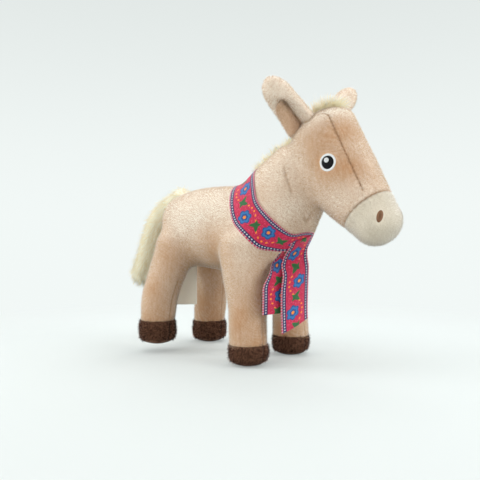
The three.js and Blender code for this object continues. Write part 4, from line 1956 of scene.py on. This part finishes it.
@dataclass
class Embroidery:
    """The eyes and nostrils, worked in satin stitch on the face."""

    anatomy: Anatomy
    surface: BVHTree
    eye: float = 5.8
    pupil: float = 4.3
    glint: float = 1.7
    eye_set: float = 0.33
    eye_angle: float = 17.0
    nostril_set: float = 1.13
    nostril_angle: float = 42.0
    nostril: tuple[float, float] = (2.1, 4.3)
    nostril_tilt: float = 16.0
    height: float = 0.9
    tall: float = 1.06
    glint_set: tuple[float, float] = (0.36, 0.7)  # share of the pupil above its middle, and mm to the front
    ring_profile: Profile = (
        (1.0, -0.8),
        (1.0, 0.35),
        (0.95, 0.62),
        (0.87, 0.7),
        (0.79, 0.6),
        (0.75, 0.3),
        (0.75, -0.8),
    )  # shares of the radius, and heights
    disc_profile: Profile = ((1.0, -0.8), (1.0, 0.3), (0.95, 0.55), (0.8, 0.75), (0.5, 0.85), (0.12, 0.88))
    glint_profile: Profile = ((1.0, 0.2), (1.0, 1.0), (0.8, 1.15), (0.4, 1.2), (0.12, 1.2))
    ridge: float = 0.07
    ray: float = 12.0
    segments: int = 120
    threads: int = 40

    def build(self) -> list[Piece]:
        """Makes, dresses and hangs all patches, and returns those that lie on the coat.

        Returns:
            The patches.
        """
        head = self.anatomy.head()
        white, black, brown = WHITE_THREAD.material(), BLACK_THREAD.material(), BROWN_THREAD.material()
        made = []
        for side in Side:
            name = f"eye_{side.word}"
            angle = mirrored(self.eye_angle, side)
            eye, gaze = head.point(self.eye_set, angle), head.normal(self.eye_set, angle)
            radii = (self.eye, self.eye * self.tall)
            patch = self.patch(f"{name}_ring_stitches", eye, gaze, radii, self.ring_profile, True)
            made.append(self.hang(patch, white, f"{name}_white"))
            radii = (self.pupil, self.pupil * self.tall)
            patch = self.patch(f"{name}_pupil_stitches", eye, gaze, radii, self.disc_profile, False)
            made.append(self.hang(patch, black, f"{name}_pupil"))
            above, ahead = self.glint_set
            spark = eye + UPWARD * (self.pupil * above)
            spark -= gaze.cross(UPWARD).normalized() * side.value * ahead
            radii = (self.glint, self.glint)
            patch = self.patch(f"{name}_glint_stitches", spark, gaze, radii, self.glint_profile, False)
            self.hang(patch, white, f"{name}_glint")
            angle = mirrored(self.nostril_angle, side)
            nose, flare = head.point(self.nostril_set, angle), head.normal(self.nostril_set, angle)
            tilt = self.nostril_tilt * side.value
            name = f"nostril_{side.word}"
            patch = self.patch(f"{name}_stitches", nose, flare, self.nostril, self.disc_profile, False, tilt)
            made.append(self.hang(patch, brown, name))
        return made

    def hang(self, obj: Piece, material: Material, node: str) -> Piece:
        """Dresses a patch, hides the node that it stands for and hangs it on the head.

        Args:
            obj: the patch.
            material: its material.
            node: the node that it stands for.

        Returns:
            The patch.
        """
        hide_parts(node)
        dress(obj, material)
        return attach(obj, "head")

    def patch(
        self,
        name: str,
        middle: Vector,
        facing: Vector,
        radii: tuple[float, float],
        profile: Sequence[tuple[float, float]],
        hollow: bool,
        tilt: float = 0.0,
    ) -> Piece:
        """A raised patch of radiating threads that follows the coat.

        Args:
            name: the piece's name.
            middle: its middle, in millimetres.
            facing: the way that it faces.
            radii: its half width and half height.
            profile: its rings as shares of the radii, and their heights over the coat.
            hollow: whether it is a ring.
            tilt: degrees that it leans about the way that it faces.

        Returns:
            The patch.
        """
        across = Quaternion(facing, math.radians(tilt)) @ UPWARD.cross(facing).normalized()
        upright = facing.cross(across)
        rings = []
        for share, height in profile:
            ring = []
            for k in range(self.segments):
                turn = 2 * math.pi * k / self.segments
                ridge = self.ridge * math.cos(turn * self.threads) if height > 0 else 0.0
                reach = across * (math.cos(turn) * radii[0] * share)
                reach += upright * (math.sin(turn) * radii[1] * share)
                start = place(middle + reach + facing * self.ray)
                found = self.surface.ray_cast(start, -facing)[0] or place(middle + reach)
                ring.append(found + facing * ((height + ridge) * self.height * MM))
            rings.append(ring)
        bm = bmesh.new()
        loft(bm, rings, hollow)
        return new_object(name, bm)


@dataclass
class Fur:
    """The long pile of the mane, the forelock and the tail."""

    anatomy: Anatomy
    coat: Coat
    mane_oval: tuple[float, float] = (7.0, 3.0)
    mane_domes: tuple[float, float] = (2.0, 2.0)
    mane_stops: tuple[float, ...] = (0.56, 0.7, 0.85, 1.0, 1.4)  # along the neck
    poll_stops: tuple[float, ...] = (-0.85, -0.6)  # the mane's last stops, along the head
    mane_nap: Vector = Vector((-0.45, 0.35, 0.35))
    mane_tousle: tuple[float, float] = (7.0, 0.9)  # size and strength
    mane_shade: float = 0.3
    forelock_oval: tuple[float, float] = (14.0, 12.0)
    forelock_domes: tuple[float, float] = (5.0, 5.0)
    forelock_stops: tuple[float, ...] = (-0.75, -0.45)
    forelock_nap: tuple[float, float] = (0.15, 0.4)  # over the brow, and up
    forelock_tousle: tuple[float, float] = (6.0, 0.8)  # size and strength
    forelock_shade: float = 0.25
    tail_root: Vector = Vector((-62.0, 0.0, 131.0))
    tail_bend: Vector = Vector((-90.0, 0.0, 109.0))
    tail_tip: Vector = Vector((-117.0, 0.0, 60.0))
    tail_ovals: Profile = ((20.0, 16.0), (25.0, 21.0), (19.0, 17.0))
    tail_domes: tuple[float, float] = (4.0, 7.0)
    tail_shade: float = 0.95

    def build(self) -> None:
        """Makes and dresses all fur, and hangs that of the tail and the forelock."""
        straw = STRAW.material()
        self.tail(straw)
        self.mane(straw)
        self.forelock(straw)

    def strip(
        self, name: str, form: Form, nap: Callable[[Vector], Vector], straw: Material, shade: float
    ) -> Piece:
        """A backing that fur grows from.

        Args:
            name: the piece's name.
            form: its shape.
            nap: the way that the fur lies at a point, in millimetres of the toy's own frame.
            straw: its material.
            shade: how pale the fur is, from 0 to 1.

        Returns:
            The backing.
        """
        bm = bmesh.new()
        loft(bm, form.rings(sides=24, steps=24, dome_steps=5))
        obj = new_object(name, bm)
        groom(obj, np.array([nap((vert.co - ORIGIN) / MM) for vert in obj.data.vertices]), shade=shade)
        return dress(obj, straw)

    def laid(self, form: Form, stops: Sequence[float]) -> list[Vector]:
        """Places along the upper middle line of a form, brought onto the coat."""
        nearest = self.coat.surface.find_nearest
        return [(nearest(place(form.point(q, 90)))[0] - ORIGIN) / MM for q in stops]

    def tail(self, straw: Material) -> None:
        """The tail, which hangs from the top of the rump.

        Args:
            straw: the fur's material.
        """
        axis = (self.tail_tip - self.tail_root).normalized()
        centres = (self.tail_root, self.tail_bend, self.tail_tip)
        ovals = tuple(Section(c, w, h) for c, (w, h) in zip(centres, self.tail_ovals))
        form = Form(axis, LEFTWARD, ovals, self.tail_domes)
        upper = (self.tail_bend - self.tail_root).normalized()
        lower = (self.tail_tip - self.tail_bend).normalized()

        def nap(point: Vector) -> Vector:
            """Down the tail."""
            return upper.lerp(lower, smoothstep(self.tail_root.z, self.tail_tip.z, point.z))

        core = self.strip("tail_backing", form, nap, straw, self.tail_shade)
        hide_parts("tail")
        fur = TAIL_FUR.grow(core, "tail_fur", STRAW, "faux_fur")
        for obj in (core, fur):
            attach(obj, "tail")

    def mane(self, straw: Material) -> None:
        """The mane along the crest, which falls to the left.

        Args:
            straw: the fur's material.
        """
        neck = self.anatomy.neck()
        crest = self.laid(neck, self.mane_stops) + self.laid(self.anatomy.head(), self.poll_stops)
        form = Form(neck.along, LEFTWARD, tuple(Section(p, *self.mane_oval) for p in crest), self.mane_domes)
        size, strength = self.mane_tousle

        def nap(point: Vector) -> Vector:
            """Over to the left and back down the neck."""
            return self.mane_nap + noise.noise_vector(point / size) * strength

        strip = self.strip("mane_backing", form, nap, straw, self.mane_shade)
        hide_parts("mane")
        fur = MANE_FUR.grow(strip, "mane_fur", STRAW, "faux_fur")
        for obj in (strip, fur):
            self.coat.twist(obj)

    def forelock(self, straw: Material) -> None:
        """The tuft between the ears.

        Args:
            straw: the fur's material.
        """
        head = self.anatomy.head()
        ovals = tuple(Section(p, *self.forelock_oval) for p in self.laid(head, self.forelock_stops))
        form = Form(head.along, head.across, ovals, self.forelock_domes)
        over, up = self.forelock_nap
        size, strength = self.forelock_tousle

        def nap(point: Vector) -> Vector:
            """Up, and a little over the brow."""
            return head.along * over + head.upward * up + noise.noise_vector(point / size) * strength

        strip = self.strip("forelock_backing", form, nap, straw, self.forelock_shade)
        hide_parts("forelock")
        fur = FORELOCK_FUR.grow(strip, "forelock_fur", STRAW, "faux_fur")
        for obj in (strip, fur):
            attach(obj, "head")


@dataclass(frozen=True)
class ScarfEnd:
    """A hanging end: its upper left corner, seen from the animal, its sizes and how it falls.

    The slant is how much longer its other edge is, the sway how strongly it waves, the flare how far its
    lower part swings over to the animal's right, and the rise how far above the coat its top lies.
    """

    corner: Vector
    gathered: float
    length: float
    slant: float
    sway: float
    flare: float
    rise: float


@dataclass
class Scarf:
    """The ribbon scarf: a band round the root of the neck and two ends that hang from its crossing."""

    surface: BVHTree
    width: float = 25.0
    ribbon: float = 0.5
    lift: float = 0.9
    around: int = 160
    across: int = 16
    smooth_rounds: int = 12
    ray: float = 80.0
    middle: Vector = Vector((47.4, 0.0, 122.1))
    lean: float = 42.0
    sag: float = 7.5
    sag_sides: tuple[float, float] = (0.1, 1.0)  # sines of the turn round the neck, here and below
    sag_throat: tuple[float, float] = (-0.9, -1.0)
    throat_share: float = 0.8
    pinch: float = 0.4
    pinch_throat: tuple[float, float] = (-0.55, -0.98)
    front: ScarfEnd = ScarfEnd(Vector((68.8, 5.0, 97.5)), 20.5, 62.5, 10.0, 0.6, 7.5, 1.5)
    back: ScarfEnd = ScarfEnd(Vector((58.5, -8.5, 89.0)), 11.0, 49.0, 1.0, -0.2, 4.0, 0.35)
    facing: float = -18.0
    dip: float = 7.0
    widens: tuple[float, float] = (0.0, 0.6)  # shares of an end's length, here and below
    pleat: float = 1.1
    pleated: tuple[float, float] = (0.0, 0.55)
    bow: float = 1.4
    bowed: tuple[float, float] = (0.05, 0.5)
    wave: float = 1.6
    flared: tuple[float, float] = (0.0, 0.4)
    freed: tuple[float, float] = (0.08, 0.4)
    bending: tuple[float, float] = (8.0, 34.0)
    girth: float = field(init=False)

    def build(self) -> Piece:
        """Makes and dresses the scarf, hangs its band on the torso, and returns the band.

        Returns:
            The band.
        """
        ribbon = RIBBON.material()
        band = self.band()
        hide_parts("scarf_band")
        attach(band, "torso")
        front = self.end("scarf_front_ribbon", self.front)
        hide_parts("scarf_front_end")
        still, loose = (place(self.front.corner - UPWARD * drop) for drop in self.bending)
        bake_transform(front)
        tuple(still)
        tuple(loose)
        back = self.end("scarf_back_ribbon", self.back)
        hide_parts("scarf_back_end")
        still, loose = (place(self.back.corner - UPWARD * drop) for drop in self.bending)
        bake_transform(back)
        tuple(still)
        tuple(loose)
        for obj in (band, front, back):
            dress(obj, ribbon)
        log.info("scarf band is %.0f mm round", self.girth)
        return band

    def ribbon_piece(
        self, name: str, at: Callable[[float, float], Vector], rows: int, columns: int, long: float
    ) -> Piece:
        """A length of ribbon over a surface.

        Args:
            name: the piece's name.
            at: its place, in metres, at a share of its length and of its width.
            rows: steps along it.
            columns: steps across it.
            long: its length in millimetres, which its pattern follows.

        Returns:
            The ribbon, with its thickness and its map.
        """
        bm = bmesh.new()
        bmesh.ops.create_grid(bm, x_segments=columns, y_segments=rows, size=0.5)
        chart = bm.loops.layers.uv.new("ribbon")
        for face in bm.faces:
            for loop in face.loops:
                share, across = loop.vert.co.y + 0.5, loop.vert.co.x + 0.5
                loop[chart].uv = (share * long / self.width, across)
        for vert in bm.verts:
            vert.co = at(vert.co.y + 0.5, vert.co.x + 0.5)
        bmesh.ops.remove_doubles(bm, verts=bm.verts, dist=1e-6)
        return thicken(new_object(name, bm), self.ribbon)

    def band(self) -> Piece:
        """The band, laid down the coat from its upper edge.

        Returns:
            The band.
        """
        axis = leaning(self.lean)
        upright = axis.cross(LEFTWARD)
        courses = []
        for k in range(self.around):
            turn = math.radians(-90 + 360 * k / self.around)
            out = LEFTWARD * math.cos(turn) + upright * math.sin(turn)
            high = math.sin(turn)
            sag = self.sag * (1 - smoothstep(*self.sag_sides, high))
            sag *= 1 - self.throat_share * smoothstep(*self.sag_throat, high)
            start = self.middle - axis * sag + out * self.ray
            hit, normal, _, _ = self.surface.ray_cast(place(start), -out)
            course = [hit + normal * self.lift * MM]
            step = self.width / self.across * (1 - self.pinch * smoothstep(*self.pinch_throat, high))
            for _ in range(self.across):
                down = (-axis - normal * (-axis).dot(normal)).normalized()
                hit, normal, _, _ = self.surface.find_nearest(hit + down * step * MM)
                course.append(hit + normal * self.lift * MM)
            courses.append(course)
        laid = np.array(courses)
        for _ in range(self.smooth_rounds):
            laid = laid / 2 + (np.roll(laid, 1, 0) + np.roll(laid, -1, 0)) / 4
        middle = laid[:, self.across // 2]
        self.girth = float(np.linalg.norm(np.roll(middle, -1, 0) - middle, axis=1).sum()) / MM

        def at(share: float, across: float) -> Vector:
            """The place of a point of the band."""
            return Vector(laid[round(share * self.around) % self.around, round(across * self.across)])

        return self.ribbon_piece("scarf_band_ribbon", at, self.around, self.across, self.girth)

    def end(self, name: str, end: ScarfEnd) -> Piece:
        """An end that hangs from a corner, gathered at the top and cut to a slant.

        Args:
            name: the piece's name.
            end: which end.

        Returns:
            The ribbon.
        """
        turn = math.radians(self.facing)
        breadth = Vector((math.sin(turn), -math.cos(turn), 0.0))
        ahead = UPWARD.cross(breadth)

        def at(share: float, across: float) -> Vector:
            """The place of a point of the end.

            Args:
                share: how far down the end, from 0 to 1.
                across: how far across it, from 0 to 1.

            Returns:
                The point, in metres.
            """
            width = end.gathered + (self.width - end.gathered) * smoothstep(*self.widens, share)
            drop = share * (end.length + end.slant * across) + self.dip * across * (1 - share)
            out = self.pleat * math.cos(4 * math.pi * across) * (1 - smoothstep(*self.pleated, share))
            out += self.bow * math.sin(math.pi * across) * smoothstep(*self.bowed, share)
            out += end.sway * self.wave * math.sin(2 * math.pi * (share * 0.9 + across * 0.2)) * share
            over = width * across + end.flare * smoothstep(*self.flared, share)
            free = place(end.corner + breadth * over - UPWARD * drop + ahead * out)
            hit = self.surface.ray_cast(free + ahead * self.width * MM, -ahead)[0]
            if hit is None:
                return free
            return (hit + ahead * end.rise * MM).lerp(free, smoothstep(*self.freed, share))

        return self.ribbon_piece(name, at, 72, 24, end.length + end.slant)


@dataclass
class Label:
    """The bare tape of the care label, sewn under the rump."""

    width: float = 21.0
    length: float = 45.0
    tape: float = 0.35
    sewn_at: Vector = Vector((-63.4, 1.6, 79.6))
    tuck: float = 1.5
    facing: float = 43.0
    slope: float = 4.6
    cup: float = 1.6
    ripple: tuple[float, float] = (0.8, 5.0)  # depth, and radians in its length

    def build(self) -> None:
        """Makes, dresses and hangs the label."""
        turn = math.radians(self.facing)
        across = Vector((math.cos(turn), math.sin(turn), 0.0))
        ahead = across.cross(UPWARD)
        depth, waves = self.ripple
        bm = bmesh.new()
        bmesh.ops.create_grid(bm, x_segments=16, y_segments=36, size=0.5)
        for vert in bm.verts:
            share, side = 0.5 - vert.co.y, vert.co.x
            curl = self.cup * math.sin(math.pi * (side + 0.5)) * share
            curl += depth * math.sin(waves * share) + self.slope * share
            spot = self.sewn_at + across * (self.width * side) + ahead * curl
            vert.co = place(spot - UPWARD * (self.length * share - self.tuck))
        obj = thicken(new_object("care_label_tape", bm), self.tape)
        dress(obj, TAPE.material())
        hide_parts("care_label")
        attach(obj, "care_label")


@dataclass(frozen=True)
class Lamp:
    """A square lamp that faces the toy, with its place and size in metres and its power in watts."""

    name: str
    spot: tuple[float, float, float]
    size: float
    power: float
    colour: Colour = (0.97, 0.99, 1.0)


@dataclass
class Studio:
    """A pale round sweep of paper, soft lamps and the camera."""

    distance: float = 487.0
    bearing: float = -51.2
    height: float = 95.0
    dip: float = 0.3
    lens: float = 45.0
    sensor: float = 36.0
    floor_radius: float = 1.6
    sweep: float = 1.0
    wall: float = 2.8
    paper: Colour = (0.57, 0.6, 0.59)
    low_glow: Colour = (0.89, 0.94, 0.925)
    high_glow: Colour = (0.745, 0.79, 0.775)
    glow_heights: tuple[float, float] = (0.1, 1.7)
    glow_reach: tuple[float, float] = (0.12, 0.4)
    glow_share: tuple[float, float] = (0.7, 0.3)  # gained away from the toy, and beside it
    sky: Colour = (0.97, 0.99, 1.0)
    sky_strength: float = 0.5
    aim: Vector = Vector((0.0, 0.0, 0.1))
    lamp_set: tuple[Lamp, ...] = (
        Lamp("overhead_lamp", (-0.4, 0.0, 1.8), 2.2, 24.0),
        Lamp("back_lamp", (-0.2, 1.1, 1.2), 1.2, 14.0),
        Lamp("left_lamp", (-1.15, -0.9, 0.7), 1.0, 14.0),
        Lamp("front_lamp", (0.35, -1.35, 0.8), 1.2, 7.0, (1.0, 0.89, 0.78)),
        Lamp("right_lamp", (1.3, 0.35, 0.6), 1.0, 14.0),
    )

    def build(self) -> None:
        """Makes the floor, the lamps and the camera."""
        self.floor()
        self.lamps()
        self.camera()
        bpy.context.scene.view_settings.view_transform = "Standard"

    def floor(self) -> None:
        """The paper: flat under the toy and swept up all round it."""
        bm = bmesh.new()
        middle = bm.verts.new((0.0, 0.0, 0.0))
        rim = bm.verts.new((self.floor_radius, 0.0, 0.0))
        bm.edges.new((middle, rim))
        arc = bmesh.ops.spin(
            bm,
            geom=[rim],
            cent=(self.floor_radius, 0.0, self.sweep),
            axis=(0.0, -1.0, 0.0),
            angle=math.pi / 2,
            steps=16,
            use_merge=False,
        )["geom_last"]
        top = [item for item in arc if isinstance(item, bmesh.types.BMVert)]
        raised = bmesh.ops.extrude_vert_indiv(bm, verts=top)["verts"]
        bmesh.ops.translate(bm, verts=raised, vec=(0.0, 0.0, self.wall))
        bmesh.ops.spin(
            bm,
            geom=[*bm.verts, *bm.edges],
            cent=(0.0, 0.0, 0.0),
            axis=(0.0, 0.0, 1.0),
            angle=2 * math.pi,
            steps=96,
            use_merge=True,
        )
        bmesh.ops.remove_doubles(bm, verts=bm.verts, dist=1e-5)
        obj = new_object("studio_paper", bm)
        if obj.data.polygons[0].normal.z < 0:
            obj.data.flip_normals()
        obj.data.materials.append(self.paper_material())
        obj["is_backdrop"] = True

    def paper_material(self) -> Material:
        """Matt paper that the camera alone sees glow evenly away from the toy.

        Returns:
            The material.
        """
        graph = Graph("studio_paper")
        graph.finish(base_color=self.paper, roughness=0.9, specular_ior_level=0.1)
        at = graph.own_coordinates()
        reach = graph.add("ShaderNodeVectorMath", {0: at}, operation="LENGTH").outputs["Value"]
        height = graph.add("ShaderNodeSeparateXYZ", {0: at}).outputs[2]
        glow = graph.mix(graph.remap(height, *self.glow_heights), self.low_glow, self.high_glow)
        seen = graph.add("ShaderNodeLightPath").outputs["Is Camera Ray"]
        share = graph.math("MULTIPLY_ADD", graph.remap(reach, *self.glow_reach), *self.glow_share)
        share = graph.math("MULTIPLY", seen, share)
        even = graph.add("ShaderNodeEmission", {"Color": glow}).outputs[0]
        mixed = graph.add("ShaderNodeMixShader", {0: share, 1: graph.shader.outputs[0], 2: even}).outputs[0]
        graph.join(mixed, graph.tree.nodes["Material Output"].inputs[0])
        return graph.material

    def lamps(self) -> None:
        """Large soft lamps and an even pale sky."""
        for lamp in self.lamp_set:
            data = bpy.data.lights.new(lamp.name, "AREA")
            data.size = lamp.size
            data.energy = lamp.power
            data.color = lamp.colour
            obj = bpy.data.objects.new(lamp.name, data)
            obj.location = lamp.spot
            obj.rotation_euler = (self.aim - Vector(lamp.spot)).to_track_quat("-Z", "Y").to_euler()
            bpy.context.scene.collection.objects.link(obj)
        world = bpy.data.worlds.new("studio_sky")
        world.use_nodes = True
        sky = world.node_tree.nodes["Background"]
        sky.inputs["Color"].default_value = (*self.sky, 1.0)
        sky.inputs["Strength"].default_value = self.sky_strength
        bpy.context.scene.world = world

    def camera(self) -> None:
        """The camera, level with the toy's chest and round to its right."""
        turn, dip = math.radians(self.bearing), math.radians(self.dip)
        toward = Vector((-math.cos(turn) * math.cos(dip), -math.sin(turn) * math.cos(dip), -math.sin(dip)))
        spot = Vector((math.cos(turn) * self.distance, math.sin(turn) * self.distance, self.height))
        data = bpy.data.cameras.new("camera")
        data.lens = self.lens
        data.sensor_width = self.sensor
        data.clip_start = 0.01
        camera = bpy.data.objects.new("camera", data)
        camera.location = place(spot)
        camera.rotation_euler = toward.to_track_quat("-Z", "Y").to_euler()
        bpy.context.scene.collection.objects.link(camera)
        bpy.context.scene.camera = camera


def main() -> None:
    """Builds and dresses the toy piece by piece, and then the studio."""
    logging.basicConfig(level=logging.INFO, format="%(name)s: %(message)s")
    anatomy = Anatomy()
    coat = Coat(anatomy)
    coat.build()
    log.info("coat stock has %d points", len(coat.stock.data.vertices))
    patches = Embroidery(anatomy, coat.surface).build()
    band = Scarf(coat.surface).build()
    Fur(anatomy, coat).build()
    coat.cover([band, *patches], 0.9)
    coat.dress()
    Hooves(anatomy).build()
    Ears(anatomy).build()
    Label().build()
    Studio().build()
    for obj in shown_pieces():
        log.info("%s: %d faces", obj.name, len(obj.data.polygons))


if __name__ == "__main__":
    main()
